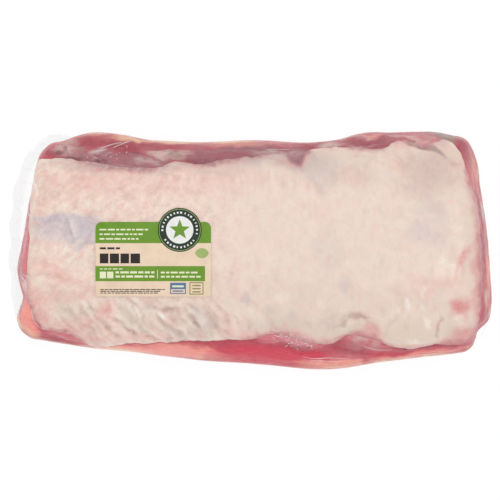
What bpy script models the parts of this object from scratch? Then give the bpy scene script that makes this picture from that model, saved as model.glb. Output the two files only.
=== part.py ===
"""A raw boneless pork loin, fat side up, sealed in a clear bag with a printed label.

The bag grips the meat all over, so bag and loin are one solid. Only the welded end of the bag
stands off it, as a flange that leaves the left cut end and hangs over it. The label is a second
solid that lies on the fat.

Every length here is in millimetres, and new_object turns it into metres. +Z is up, X runs along
the loin, +Y is its far side, and the origin is the middle of the underside.
"""

import math

import bmesh
import bpy
import numpy as np
from mathutils import Vector, geometry, noise
from mathutils.bvhtree import BVHTree

MM = 0.001

# Driving sizes of the loin
HEIGHT = 62
END_ROUND = 11
END_BULGE = 2.5
LEFT_FACE_LEAN = 3.5
RIGHT_FACE_LEAN = 8

# Plan of the loin: (x, y) along its long sides
FAR_SIDE = [(-150, 66), (-121, 71), (-98, 74), (-60, 69), (0, 69.3), (56, 69.5), (74, 74), (107, 75), (150, 66)]
NEAR_SIDE = [(-150, -54), (-110, -60), (-57, -66), (-6, -71), (57, -75), (95, -68.5), (130, -64.5), (150, -62)]

# Plan of the loin: (y, x) along its cut ends
LEFT_END = [(-64, -145), (-43, -148.5), (-30, -146), (-16, -147.5), (0, -145.5), (19, -143), (41, -137.5), (64, -134)]
RIGHT_END = [(-60, 145.5), (-45, 150), (-16, 151), (0, 150), (19, 147.5), (41, 143.5), (64, 138)]

# How tall the loin stands along its length: (x, share of HEIGHT)
CREST = [(-150, 0.86), (-90, 0.95), (-10, 1.0), (80, 0.985), (150, 0.90)]

# Cross-section: how high its widest lines lie, and the exponents that set how square its corners are
WIDEST_FAR = 25
WIDEST_NEAR = 17
SQUARE_FAR = 2.9
SQUARE_NEAR = [(-150, 2.8), (-70, 2.3), (20, 2.0), (80, 2.2), (150, 2.8)]
SQUARE_UNDER = 3.0
UNDER_SINK = 4

# Where the fat cap ends on top: (x, y) along its long edges
FAT_FAR = [(-140, 57), (-105, 54), (-70, 52), (4, 57), (30, 53.5), (42, 62), (57, 66), (71, 63), (95, 68), (140, 56)]
FAT_NEAR = [(-140, -42), (-117, -56.5), (-77, -60), (14, -53), (48, -57), (85, -59.5), (105, -61), (142, -47)]
FAT_STEP = 1.6
FAT_LIP = 3

# Lobes and hollows of the fat cap: (x, y, half length, half width, rise)
LOBES = [
    (61, -47, 9, 7, 2.2),
    (98, -50, 22, 13, 2.0),
    (-70, -42, 18, 9, 1.4),
    (-35, -45, 20, 8, 1.4),
    (118, 42, 24, 14, -1.2),
    (-112, 12, 20, 9, -1.4),
]
LUMP_RISE = 0.9
LUMP_SPAN = 34

# The bag's welded flange: (x, y) along its outer edge, from the far corner to the near one
FLANGE_EDGE = [
    (-110, 70),
    (-120, 72.2),
    (-129, 70),
    (-138, 61),
    (-144.5, 49),
    (-148, 36),
    (-151, 17),
    (-151.5, -12),
    (-150, -31),
    (-147.5, -45),
    (-139, -53),
]
FLANGE_DEPTH = 15
FLANGE_ROOT_HEIGHT = 32
FLANGE_DROOP = 23
FLANGE_THICKNESS = 1.4
FLANGE_RIPPLE = 0.8
FLANGE_RIPPLES = 7

# The label: a rectangle, and a round badge that overhangs its far edge
LABEL_LEFT, LABEL_RIGHT = -97, -24.5
LABEL_NEAR, LABEL_FAR = -29.3, 17.6
LABEL_CORNER = 3.8
LABEL_THICKNESS = 0.35
LABEL_GAP = 0.4
BADGE_X, BADGE_Y = -44.1, 12.6
BADGE_RADIUS = 13.8

# Fineness of the meshes
OUTER_STATION = 135
STATIONS = 58
AROUND = 60
EDGE_RINGS = 5
FACE_RINGS = (0.35, 0.7)
FLANGE_STATIONS = 44
FLANGE_STEPS = 8
LABEL_GRID = 4


def clear_scene():
    for obj in list(bpy.data.objects):
        bpy.data.objects.remove(obj)


def new_object(name, bm):
    """An object from a bmesh in millimetres."""
    bmesh.ops.scale(bm, vec=(MM, MM, MM), verts=bm.verts)
    mesh = bpy.data.meshes.new(name)
    bm.to_mesh(mesh)
    bm.free()
    obj = bpy.data.objects.new(name, mesh)
    bpy.context.scene.collection.objects.link(obj)
    return obj


def through(points, at):
    """Height at `at` of a smooth curve through (place, height) points, level with the last ones beyond them."""
    place, height = np.array(points, float).T
    slope = np.gradient(height, place)
    at = np.clip(at, place[0], place[-1])
    k = np.clip(np.searchsorted(place, at) - 1, 0, len(place) - 2)
    step = place[k + 1] - place[k]
    t = (at - place[k]) / step
    start = (1 + 2 * t) * (1 - t) ** 2 * height[k] + t * (1 - t) ** 2 * step * slope[k]
    end = t * t * (3 - 2 * t) * height[k + 1] + t * t * (t - 1) * step * slope[k + 1]
    return start + end


def ease(low, high, value):
    """0 below low, 1 above high, smooth in between."""
    t = np.clip((value - low) / (high - low), 0, 1)
    return t * t * (3 - 2 * t)


def cross_section(x, inset, angle):
    """Outline (y, z) of the loin at x, for angles that run once round it.

    inset moves the outline inwards, for the rounded edges of the cut ends. The flat underside is
    the part of the outline that sinks below the floor and is lifted back to it.
    """
    far = through(FAR_SIDE, x) - inset
    near = through(NEAR_SIDE, x) + inset
    top = HEIGHT * through(CREST, x) - 0.7 * inset
    middle = (far + near) / 2
    across, up = np.cos(angle), np.sin(angle)
    widest = np.where(across > 0, WIDEST_FAR, WIDEST_NEAR)
    reach = np.where(across > 0, far - middle, near - middle)
    shoulder = np.where(across > 0, SQUARE_FAR, through(SQUARE_NEAR, x))
    square = np.where(up > 0, shoulder, SQUARE_UNDER)
    rise = np.where(up > 0, top - widest, -widest - UNDER_SINK + 0.5 * inset)
    y = middle + reach * np.abs(across) ** (2 / square)
    z = widest + rise * np.abs(up) ** (2 / square)
    return y, np.maximum(z, 0.4 * inset)


def spread_angles(x):
    """AROUND angles that set points evenly round the outline at x, further apart on the flat underside."""
    angle = -math.pi / 2 - np.linspace(0, 2 * math.pi, 1441)
    y, z = cross_section(x, 0, angle)
    weight = 0.3 + 0.7 * ease(0, 2, (z[1:] + z[:-1]) / 2)
    walked = np.concatenate([[0], np.cumsum(np.hypot(np.diff(y), np.diff(z)) * weight)])
    stops = np.linspace(0, walked[-1], AROUND, endpoint=False)
    return np.interp(stops, walked, angle)


def loin_ring(along, from_end, inset, share):
    """One ring of points round the loin, `along` being 0 at the left cut end and 1 at the right one.

    from_end is the distance in from that end's face, and share shrinks the ring on the face itself.
    """
    station = (along - 0.5) * 2 * OUTER_STATION
    y, z = cross_section(station, inset, spread_angles(station))
    y = y.mean() + (y - y.mean()) * share
    z = 0.45 * HEIGHT + (z - 0.45 * HEIGHT) * share
    up_the_face = np.clip((z - WIDEST_FAR) / (HEIGHT - WIDEST_FAR), 0, 1)
    outward = END_BULGE * (1 - share**2) - from_end
    left = through(LEFT_END, y) + LEFT_FACE_LEAN * up_the_face - outward
    right = through(RIGHT_END, y) - RIGHT_FACE_LEAN * up_the_face + outward
    return np.column_stack([left + (right - left) * along, y, z])


def loin_rings():
    """All rings, from the middle of the left cut face to the middle of the right one."""
    end = [(0, END_ROUND, share) for share in FACE_RINGS]
    for turn in np.linspace(0, math.pi / 2, EDGE_RINGS):
        end.append((END_ROUND * (1 - math.cos(turn)), END_ROUND * (1 - math.sin(turn)), 1))
    rings = [loin_ring(0, *ring) for ring in end]
    rings += [loin_ring(along, END_ROUND, 0, 1) for along in np.linspace(0, 1, STATIONS)[1:-1]]
    rings += [loin_ring(1, *ring) for ring in reversed(end)]
    return rings


def relief(point):
    """How far the skin stands proud of the plain loft: fat step, lobes and lumps, none of it underneath."""
    x, y, z = point
    inside = min(y - through(FAT_NEAR, x), through(FAT_FAR, x) - y)
    on_top = ease(30, 42, z)
    proud = FAT_STEP * ease(-FAT_LIP, FAT_LIP, inside) * on_top
    for lobe_x, lobe_y, half_length, half_width, rise in LOBES:
        apart = math.hypot((x - lobe_x) / half_length, (y - lobe_y) / half_width)
        proud += rise * math.exp(-1.5 * apart**4) * on_top
    return proud + LUMP_RISE * noise.noise(point / LUMP_SPAN) * ease(3, 15, z)


def loft_loin():
    """The gripped bag and the loin in it, as one closed loft."""
    bm = bmesh.new()
    rings = [[bm.verts.new(point) for point in ring] for ring in loin_rings()]
    for ring, following in zip(rings, rings[1:]):
        for i in range(AROUND):
            j = (i + 1) % AROUND
            bm.faces.new((ring[i], ring[j], following[j], following[i]))
    for ring in (rings[0], rings[-1]):
        middle = bm.verts.new(sum((v.co for v in ring), Vector()) / AROUND)
        for i in range(AROUND):
            bm.faces.new((ring[i], ring[(i + 1) % AROUND], middle))
    bmesh.ops.recalc_face_normals(bm, faces=bm.faces)
    bm.normal_update()
    moves = [vert.normal * relief(vert.co) for vert in bm.verts]
    for vert, move in zip(bm.verts, moves):
        vert.co += move
        vert.co.z = max(vert.co.z, 0)
    return new_object("sealed_loin", bm)


def hem_line():
    """Points and inward directions along the flange's outer edge in plan."""
    corners = np.array(FLANGE_EDGE, float)
    walked = np.concatenate([[0], np.cumsum(np.hypot(*np.diff(corners, axis=0).T))])
    stops = np.linspace(0, walked[-1], FLANGE_STATIONS)
    hem = np.column_stack([through(np.column_stack([walked, corners[:, axis]]), stops) for axis in (0, 1)])
    run = np.gradient(hem, axis=0)
    inward = np.column_stack([-run[:, 1], run[:, 0]]) / np.hypot(*run.T)[:, None]
    return hem, inward


def loft_flange():
    """The welded flange: a curved, rippled apron, shallower towards the corners of the pack."""
    bm = bmesh.new()
    rows = []
    for share, point, inward in zip(np.linspace(0, 1, FLANGE_STATIONS), *hem_line()):
        swell = math.sin(math.pi * share) ** 0.5
        ripple = FLANGE_RIPPLE * swell * math.sin(2 * math.pi * FLANGE_RIPPLES * share)
        root = Vector((*(point + inward * FLANGE_DEPTH), FLANGE_ROOT_HEIGHT))
        brow = Vector((*point, FLANGE_ROOT_HEIGHT))
        hem = Vector((*(point + inward * ripple), FLANGE_ROOT_HEIGHT - FLANGE_DROOP * (0.2 + 0.8 * swell)))
        steps = np.linspace(0, 1, FLANGE_STEPS)
        rows.append([bm.verts.new((1 - t) ** 2 * root + 2 * t * (1 - t) * brow + t * t * hem) for t in steps])
    for row, following in zip(rows, rows[1:]):
        for i in range(FLANGE_STEPS - 1):
            bm.faces.new((row[i], row[i + 1], following[i + 1], following[i]))
    bmesh.ops.recalc_face_normals(bm, faces=bm.faces)
    apron = new_object("flange", bm)
    thicken = apron.modifiers.new("film", "SOLIDIFY")
    thicken.thickness = FLANGE_THICKNESS * MM
    thicken.offset = 0
    return apron


def weld_flange(loin, apron):
    """Joins the flange to the loin, applies the join and removes the loose flange."""
    join = loin.modifiers.new("flange", "BOOLEAN")
    join.operation = "UNION"
    join.solver = "EXACT"
    join.object = apron
    graph = bpy.context.evaluated_depsgraph_get()
    joined = bpy.data.meshes.new_from_object(loin.evaluated_get(graph))
    loin.modifiers.clear()
    loin.data = joined
    bpy.data.objects.remove(apron)


def centre_on_origin(loin):
    """Moves the mesh so that the middle of its box stands on the origin."""
    corners = np.array([vert.co for vert in loin.data.vertices])
    low, high = corners.min(axis=0), corners.max(axis=0)
    shift = Vector(((low[0] + high[0]) / 2, (low[1] + high[1]) / 2, low[2]))
    for vert in loin.data.vertices:
        vert.co -= shift


def label_outline():
    """Points round the label: a rectangle with round far corners, and the badge's arc."""
    badge = Vector((BADGE_X, BADGE_Y))
    start = math.asin((LABEL_FAR - badge.y) / BADGE_RADIUS)
    round_y = LABEL_FAR - LABEL_CORNER
    arcs = (
        (Vector((LABEL_RIGHT - LABEL_CORNER, round_y)), LABEL_CORNER, 0, math.pi / 2, 5),
        (badge, BADGE_RADIUS, start, math.pi - start, 16),
        (Vector((LABEL_LEFT + LABEL_CORNER, round_y)), LABEL_CORNER, math.pi / 2, math.pi, 5),
    )
    corners = [Vector((LABEL_LEFT, LABEL_NEAR)), Vector((LABEL_RIGHT, LABEL_NEAR))]
    for centre, radius, first, last, count in arcs:
        for angle in np.linspace(first, last, count):
            corners.append(centre + radius * Vector((math.cos(angle), math.sin(angle))))
    points = []
    for corner, following in zip(corners, corners[1:] + corners[:1]):
        pieces = math.ceil((following - corner).length / LABEL_GRID)
        points += [corner.lerp(following, i / pieces) for i in range(pieces)]
    return points


def lay_label(loin):
    """The label: a thin sheet that follows the fat just clear of it."""
    outline = label_outline()
    border = [(i, (i + 1) % len(outline)) for i in range(len(outline))]
    inner = []
    for x in np.arange(LABEL_LEFT + LABEL_GRID, LABEL_RIGHT - LABEL_GRID / 2, LABEL_GRID):
        for y in np.arange(LABEL_NEAR + LABEL_GRID, LABEL_FAR - LABEL_GRID / 2, LABEL_GRID):
            inner.append(Vector((x, y)))
    points, _, faces, *_ = geometry.delaunay_2d_cdt(outline + inner, border, [], 1, 1e-4)
    skin = BVHTree.FromObject(loin, bpy.context.evaluated_depsgraph_get())
    bm = bmesh.new()
    verts = []
    for x, y in points:
        hit = skin.ray_cast(Vector((x, y, 2 * HEIGHT)) * MM, Vector((0, 0, -1)))[0]
        verts.append(bm.verts.new((x, y, hit.z / MM + LABEL_GAP)))
    for face in faces:
        bm.faces.new([verts[i] for i in face])
    bmesh.ops.recalc_face_normals(bm, faces=bm.faces)
    if sum(face.normal.z for face in bm.faces) < 0:
        bmesh.ops.reverse_faces(bm, faces=bm.faces)
    label = new_object("label", bm)
    thicken = label.modifiers.new("paper", "SOLIDIFY")
    thicken.thickness = LABEL_THICKNESS * MM
    thicken.offset = 1
    return label


def finish(obj, colour, roughness):
    """Gives the object its own plain material and smooth shading."""
    material = bpy.data.materials.new(obj.name)
    material.use_nodes = True
    shader = material.node_tree.nodes["Principled BSDF"]
    shader.inputs["Base Color"].default_value = (*colour, 1)
    shader.inputs["Roughness"].default_value = roughness
    shader.inputs["Metallic"].default_value = 0
    obj.data.materials.append(material)
    obj.data.shade_smooth()


clear_scene()
sealed_loin = loft_loin()
weld_flange(sealed_loin, loft_flange())
centre_on_origin(sealed_loin)
finish(sealed_loin, colour=(0.80, 0.66, 0.59), roughness=0.25)
finish(lay_label(sealed_loin), colour=(0.85, 0.70, 0.52), roughness=0.45)
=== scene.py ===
"""A raw boneless pork loin, fat side up, vacuum-packed in clear film with a paper label stuck on the fat.

Lengths are in millimetres until a mesh is made of them in metres. +Z is up, X runs along the loin and +Y
is its far side. Colours are red, green and blue from 0 to 255, as they read on a screen. Only the table,
lamps and camera at the end are set out in metres, in plain whites and greys.
"""

import math

import bmesh
import bpy
import numpy as np
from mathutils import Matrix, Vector, geometry, noise
from mathutils.bvhtree import BVHTree


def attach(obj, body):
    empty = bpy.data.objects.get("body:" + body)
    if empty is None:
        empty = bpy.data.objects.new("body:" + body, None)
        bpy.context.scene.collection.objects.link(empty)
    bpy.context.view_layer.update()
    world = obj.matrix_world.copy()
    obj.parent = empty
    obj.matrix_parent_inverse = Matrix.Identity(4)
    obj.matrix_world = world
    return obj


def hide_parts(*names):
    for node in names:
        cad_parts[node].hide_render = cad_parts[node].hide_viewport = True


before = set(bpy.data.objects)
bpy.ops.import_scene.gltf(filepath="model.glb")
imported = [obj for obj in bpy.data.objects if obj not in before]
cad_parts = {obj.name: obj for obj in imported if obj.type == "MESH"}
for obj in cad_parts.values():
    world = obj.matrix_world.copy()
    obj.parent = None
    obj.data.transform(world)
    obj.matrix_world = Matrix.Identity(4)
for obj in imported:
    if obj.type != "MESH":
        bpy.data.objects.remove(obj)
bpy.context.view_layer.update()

# Lean meat
# The boned loin muscle, raw and rosy, one piece from end to end. It shows as a strip along both long
# sides and on the two cut ends, and is flat where the pack lies. The fat cap grows on its upper side.

MM = 0.001

# The crest's height; how far the cut ends are rounded and bulge, and how far each slopes in towards its top
HEIGHT = 62
END_ROUND = 11
END_BULGE = 0.8
LEFT_END_SLOPE = 3.5
RIGHT_END_SLOPE = 8

# The loin's outline in plan: (x, y) along its long sides, then (y, x) along its ends
FAR_SIDE = [
    (-150, 67), (-133, 68.6), (-122, 71.8), (-112, 73.6), (-100, 73.4), (-86, 71.8), (-74, 69.5),
    (-60, 68.4), (0, 68.9), (44, 68.3), (57, 69.8), (66, 72.6), (74, 74), (92, 74.2), (108, 74.8),
    (120, 74.4), (132, 72.2), (150, 68),
]
NEAR_SIDE = [
    (-150, -54), (-127, -58.6), (-110, -60.8), (-57, -67), (-6, -71.8), (57, -75), (95, -70), (130, -65.8),
    (150, -62.5),
]
LEFT_END = [
    (-64, -143), (-52, -145.6), (-42, -147), (-36, -145), (-31, -143.2), (-24, -144.2), (-13, -146),
    (0, -144), (12, -142), (24, -140), (41, -137), (54, -135), (64, -132),
]
RIGHT_END = [
    (-62, 143), (-54, 146), (-45, 150), (-16, 151), (0, 150), (19, 148), (41, 145), (54, 143.5),
    (64, 140.5),
]
# The crest's height along x as a share of HEIGHT, the middle of the cut faces, and where each side is widest
CREST = [(-150, 0.86), (-90, 0.95), (-10, 1.0), (80, 0.985), (150, 0.90)]
FACE_MIDDLE = 0.45 * HEIGHT
WIDEST_FAR = 25
WIDEST_NEAR = 17

# How square the cross section's shoulders are, 2 being an ellipse; the near one changes along x
SQUARE_FAR = 2.9
SQUARE_NEAR = [(-150, 2.8), (-70, 2.3), (20, 2.0), (80, 2.2), (150, 2.8)]
SQUARE_UNDER = 3.0

# How far the cross section runs on below the table, which cuts it flat, and the y of the pack's middle
UNDER_SINK = 4
MIDDLE_Y = -0.26
# Broad swellings of the upper skin, and dips of negative rise: (x, y, half length, half width, rise)
LOBES = [
    (61, -47, 9, 7, 2.2), (98, -50, 22, 13, 2.0), (-70, -42, 18, 9, 1.4), (-35, -45, 20, 8, 1.4),
    (118, 42, 24, 14, -1.2), (-112, 12, 20, 9, -1.4),
]
LUMP_RISE = 0.9
LUMP_SPAN = 34

# How finely the skin is divided along the loin, round it, and over its rounded ends and cut faces
OUTER_STATION = 135
STATIONS = 270
AROUND = 264
EDGE_RINGS = 14
FACE_RINGS = 20

# Where the fat cap ends in plan: (x, y) along its long edges, then (y, x) along its ends; and the height, as
# (y, z), that it hangs down to on the two cut ends
FAT_FAR = [
    (-131, 57.3), (-117, 57.8), (-105, 55.2), (-91, 52.3), (-71, 50.6), (-62, 51), (-56, 51.8), (-51, 53.6),
    (-44, 54.8), (-38, 53.4), (-30, 52.6), (-20, 54.8), (-8, 57), (4, 58.6), (13, 60.2), (20, 60),
    (24, 58.4), (26, 55.4), (29, 53.6), (32, 55), (34, 59.4), (37, 61.8), (47, 63.8), (58, 64.5), (71, 64),
    (80, 62.8), (85, 63.8), (89, 66.4), (96, 67.8), (104, 66.6), (111, 65.2), (116, 66.8), (121, 69.2),
    (126, 68.6), (130, 65), (134, 58),
]
FAT_NEAR = [
    (-131, -49), (-122, -51.4), (-113, -51.6), (-108, -54.6), (-101, -59), (-92, -60.2), (-77, -59),
    (-57, -58), (-37, -57.3), (-16, -56.8), (4, -54.4), (14, -51.6), (24, -52.9), (37, -56.6), (46, -58.4),
    (54, -56.8), (59, -53.2), (63, -51.8), (69, -52.6), (75, -54.4), (82, -55.4), (87, -58.8), (93, -60.4),
    (101, -60.7), (109, -59.8), (116, -58.6), (127, -58.2), (139, -57.4),
]
FAT_LEFT = [
    (-51, -129), (-43, -134.5), (-31, -139.5), (-19, -140.6), (-3, -139.2), (14, -138.4), (42, -137),
    (57, -133.4),
]
FAT_RIGHT = [
    (-60, 139), (-52, 141.5), (-44, 143), (-37, 144), (-26, 144.6), (-8, 144.6), (4, 143.6), (19, 142.6),
    (29, 141.4), (40, 138.4), (48, 136), (59, 132.8), (69, 129.5),
]
FAT_HANG = [(0, 40), (14, 46), (20, 47), (28, 46), (36, 43.5), (44, 41.5), (52, 40.5), (58, 40.5)]

# The lowest that fat reaches on the long sides, the x from which a point counts as on a cut end, and the
# depth to which the lean gives way under the fat
FAT_LOWEST = 30
CUT_ENDS_FROM = 127
FAT_UNDERSIDE = 6.5


def through(points, at):
    """Height at `at` of a smooth curve through (place, height) points, and level beyond the last ones."""
    place, height = np.array(points, float).T
    slope = np.gradient(height, place)
    at = np.clip(at, place[0], place[-1])
    k = np.clip(np.searchsorted(place, at) - 1, 0, len(place) - 2)
    step = place[k + 1] - place[k]
    t = (at - place[k]) / step
    start = (1 + 2 * t) * (1 - t) ** 2 * height[k] + t * (1 - t) ** 2 * step * slope[k]
    end = t * t * (3 - 2 * t) * height[k + 1] + t * t * (t - 1) * step * slope[k + 1]
    return start + end


def ease(low, high, value):
    """0 at low and beyond it, 1 at high and beyond it, smooth in between."""
    t = np.clip((value - low) / (high - low), 0, 1)
    return t * t * (3 - 2 * t)


def cross_section(x, inset, angle):
    """Outline (y, z) of the loin at x, for angles that run once round it.

    inset moves the sides inwards, and the top and the underside by rather less.
    """
    far = through(FAR_SIDE, x) - inset
    near = through(NEAR_SIDE, x) + inset
    top = HEIGHT * through(CREST, x) - 0.7 * inset
    middle = (far + near) / 2
    across, up = np.cos(angle), np.sin(angle)
    widest = np.where(across > 0, WIDEST_FAR, WIDEST_NEAR)
    reach = np.where(across > 0, far - middle, near - middle)
    shoulder = np.where(across > 0, SQUARE_FAR, through(SQUARE_NEAR, x))
    square = np.where(up > 0, shoulder, SQUARE_UNDER)
    rise = np.where(up > 0, top - widest, -widest - UNDER_SINK + 0.5 * inset)
    y = middle + reach * np.abs(across) ** (2 / square)
    z = widest + rise * np.abs(up) ** (2 / square)
    return y, np.maximum(z, 0.4 * inset)


def spread_angles(x):
    """AROUND angles that set points evenly round the outline at x, further apart low down and underneath."""
    angle = -math.pi / 2 - np.linspace(0, 2 * math.pi, 7201)
    y, z = cross_section(x, 0, angle)
    weight = 0.3 + 0.7 * ease(4, 24, (z[1:] + z[:-1]) / 2)
    walked = np.concatenate([[0], np.cumsum(np.hypot(np.diff(y), np.diff(z)) * weight)])
    stops = np.linspace(0, walked[-1], AROUND, endpoint=False)
    return np.interp(stops, walked, angle)


def loin_ring(along, from_end, inset, share):
    """One ring of points round the loin, `along` being 0 at the left cut end and 1 at the right one.

    from_end is the distance in from that end's face, and share shrinks the ring on the face itself.
    """
    station = (along - 0.5) * 2 * OUTER_STATION
    y, z = cross_section(station, inset, spread_angles(station))
    y = y.mean() + (y - y.mean()) * share
    z = FACE_MIDDLE + (z - FACE_MIDDLE) * share
    up_the_face = np.clip((z - WIDEST_FAR) / (HEIGHT - WIDEST_FAR), 0, 1)
    outward = END_BULGE * (1 - share**2) - from_end
    left = through(LEFT_END, y) + LEFT_END_SLOPE * up_the_face - outward
    right = through(RIGHT_END, y) - RIGHT_END_SLOPE * up_the_face + outward
    return np.column_stack([left + (right - left) * along, y - MIDDLE_Y, z])


def loin_rings():
    """All rings, from the middle of the left cut face to the middle of the right one."""
    end = [(0, END_ROUND, share) for share in np.linspace(0.02, 1, FACE_RINGS, endpoint=False)]
    for turn in np.linspace(0, math.pi / 2, EDGE_RINGS):
        end.append((END_ROUND * (1 - math.cos(turn)), END_ROUND * (1 - math.sin(turn)), 1))
    rings = [loin_ring(0, *ring) for ring in end]
    rings += [loin_ring(along, END_ROUND, 0, 1) for along in np.linspace(0, 1, STATIONS)[1:-1]]
    rings += [loin_ring(1, *ring) for ring in reversed(end)]
    return np.array(rings)


def net_faces(rings, around):
    """Faces of a closed skin over rings of points: squares between the rings, and one face at each end."""
    index = np.arange(rings * around).reshape(rings, around)
    ring, following = index[:-1], index[1:]
    squares = np.stack([ring, np.roll(ring, -1, 1), np.roll(following, -1, 1), following], axis=-1)
    faces = [tuple(face) for face in squares.reshape(-1, 4).tolist()]
    return faces + [tuple(index[0, ::-1].tolist()), tuple(index[-1].tolist())]


def new_mesh(name, points, faces):
    """A mesh from points in millimetres."""
    mesh = bpy.data.meshes.new(name)
    mesh.from_pydata((np.asarray(points) * MM).tolist(), [], faces)
    return mesh


def new_piece(name, mesh, stands_for=()):
    """A piece of the pack, smooth shaded but for its sharp edges, that moves with it."""
    mesh.shade_smooth()
    mesh.set_sharp_from_angle(angle=math.radians(55))
    piece = bpy.data.objects.new(name, mesh)
    bpy.context.scene.collection.objects.link(piece)
    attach(piece, "root")
    if stands_for:
        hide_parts(*stands_for)
    return piece


def mesh_normals(mesh):
    flat = np.empty(len(mesh.vertices) * 3, np.float32)
    mesh.vertex_normals.foreach_get("vector", flat)
    return flat.reshape(-1, 3).astype(float)


def ripple(points, span, seed=0.0):
    """Smooth noise from about -1 to 1 at each point; its features are `span` mm across, or (x, y, z) mm."""
    scaled = points / np.asarray(span, float) + seed
    return np.array([noise.noise(Vector(point)) for point in scaled.tolist()])


rings = loin_rings()
skin = rings.reshape(-1, 3)
skin_faces = net_faces(len(rings), AROUND)
skin_mesh = new_mesh("skin", skin, skin_faces)
outward = mesh_normals(skin_mesh)
if (outward * (skin - skin.mean(0))).sum() < 0:
    skin_faces = [face[::-1] for face in skin_faces]
    outward = -outward
skin_tree = BVHTree.FromPolygons(skin.tolist(), skin_faces)
bpy.data.meshes.remove(skin_mesh)

on_top = ease(30, 42, skin[:, 2])
off_the_floor = ease(3, 15, skin[:, 2])


def lobes_and_lumps():
    """How far the skin stands proud of the plain loft: the broad lobes and lumps of the whole loin."""
    proud = LUMP_RISE * ripple(skin, LUMP_SPAN) * off_the_floor
    for x, y, half_length, half_width, rise in LOBES:
        apart = np.hypot((skin[:, 0] - x) / half_length, (skin[:, 1] - y) / half_width)
        proud += rise * np.exp(-1.5 * apart**4) * on_top
    return proud


def steepness(points, at):
    """Length of a curve for each unit along it, which turns a gap straight across into a distance."""
    return np.hypot(1, (through(points, at + 1) - through(points, at - 1)) / 2)


def inside_fat():
    """How far each point lies inside the fat cap's edge, negative on bare lean."""
    x, y, z = skin.T
    far = (through(FAT_FAR, x) - y) / steepness(FAT_FAR, x)
    near = (y - through(FAT_NEAR, x)) / steepness(FAT_NEAR, x)
    left = x - through(FAT_LEFT, y)
    right = through(FAT_RIGHT, y) - x
    at_ends = ease(CUT_ENDS_FROM, CUT_ENDS_FROM + 6, np.abs(x))
    lowest = FAT_LOWEST + at_ends * (through(FAT_HANG, y) - FAT_LOWEST + 1.5 * ripple(skin, 11, 7.3))
    edge = np.minimum.reduce([far, near, left, right, z - lowest])
    return edge + 0.8 * ripple(skin, 9, 4.2) + 0.7 * ripple(skin, 3.5, 8.1) + 1.5 * thinned


proud = lobes_and_lumps()

# Places that wander off the skin's own, by which ragged marks are laid: (reach, span, seeds)
STRAYS = ((2.6, 11, (1.3, 2.7, 3.9)), (1.1, 4, (5.1, 6.3, 7.7)), (0.5, 1.8, (2.2, 4.3, 6.9)))
wander = np.zeros(skin.shape)
for reach, span, seeds in STRAYS:
    wander += reach * np.column_stack([ripple(skin, span, seed) for seed in seeds])
strayed = skin + wander


def height_at(x, y):
    """Height of the loin's upper skin at a place in plan, or of its widest line beyond the outline."""
    hit = skin_tree.ray_cast(Vector((x, y, 2 * HEIGHT)), Vector((0, 0, -1)))[0]
    return hit.z if hit else WIDEST_FAR


def stains(marks, fall=7, softness=0.9):
    """Strength, 0 to 1, of soft ragged spots; a mark is (x, y, half length, half width, turn, strength).

    A spot reaches `fall` mm up and down the sides, and softness is how wide its edge fades, as a share of it.
    """
    bare = np.ones(len(strayed))
    for x, y, half_length, half_width, turn, strength in marks:
        away = strayed - (x, y, height_at(x, y))
        cosine, sine = math.cos(math.radians(turn)), math.sin(math.radians(turn))
        along = (away[:, 0] * cosine + away[:, 1] * sine) / half_length
        across = (away[:, 1] * cosine - away[:, 0] * sine) / half_width
        apart = np.sqrt(along**2 + across**2 + (away[:, 2] / fall) ** 2)
        bare *= 1 - strength * ease(1 + softness / 2, 1 - softness / 2, apart)
    return 1 - bare


# Where the fat thins out and the lean shows through its edge: (x, y, half length, half width, turn, strength)
THIN_EDGES = [
    (-92, 54, 18, 8, 0, 1), (-72, 52, 14, 8, 0, 0.9), (-24, 56, 20, 7, 0, 0.8), (8, 61, 12, 5, 0, 0.6),
    (31, 56, 7, 9, 0, 1), (26, -54, 26, 9, 0, 1), (72, -55, 14, 8, 0, 1), (137, -56, 19, 14, 0, 1),
    (143, -10, 6, 34, 0, 1), (139, 35, 6, 18, 0, 0.8), (-118, -54, 18, 8, -20, 1),
    (-138, -38, 7, 19, 14, 1), (106, 66, 16, 6, -14, 0.6), (-141, -22, 5, 8, 0, 0.7),
    (100, -60, 20, 4, 0, 0.4), (72, 63, 14, 4, 0, 0.5),
]
thinned = stains(THIN_EDGES, fall=14, softness=1.4)
fat_edge = inside_fat()


def smooth_path(corners, spacing=0.8, count=None):
    """Points evenly along a smooth curve through corners, `spacing` mm apart or `count` in all."""
    corners = np.array(corners, float)
    walked = np.concatenate([[0], np.cumsum(np.linalg.norm(np.diff(corners, axis=0), axis=1))])
    stops = np.linspace(0, walked[-1], count or max(3, round(walked[-1] / spacing)))
    axes = range(corners.shape[1])
    return np.column_stack([through(np.column_stack([walked, corners[:, axis]]), stops) for axis in axes])


# Lines are laid in plan, so only skin above this height takes them. The raised bank beside a groove has its
# height as a share of the groove's depth, and its place and width as shares of the groove's width
FURROWED_ABOVE = 28
BANK_HEIGHT, BANK_PLACE, BANK_WIDTH = 0.45, 2.0, 1.1


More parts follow.
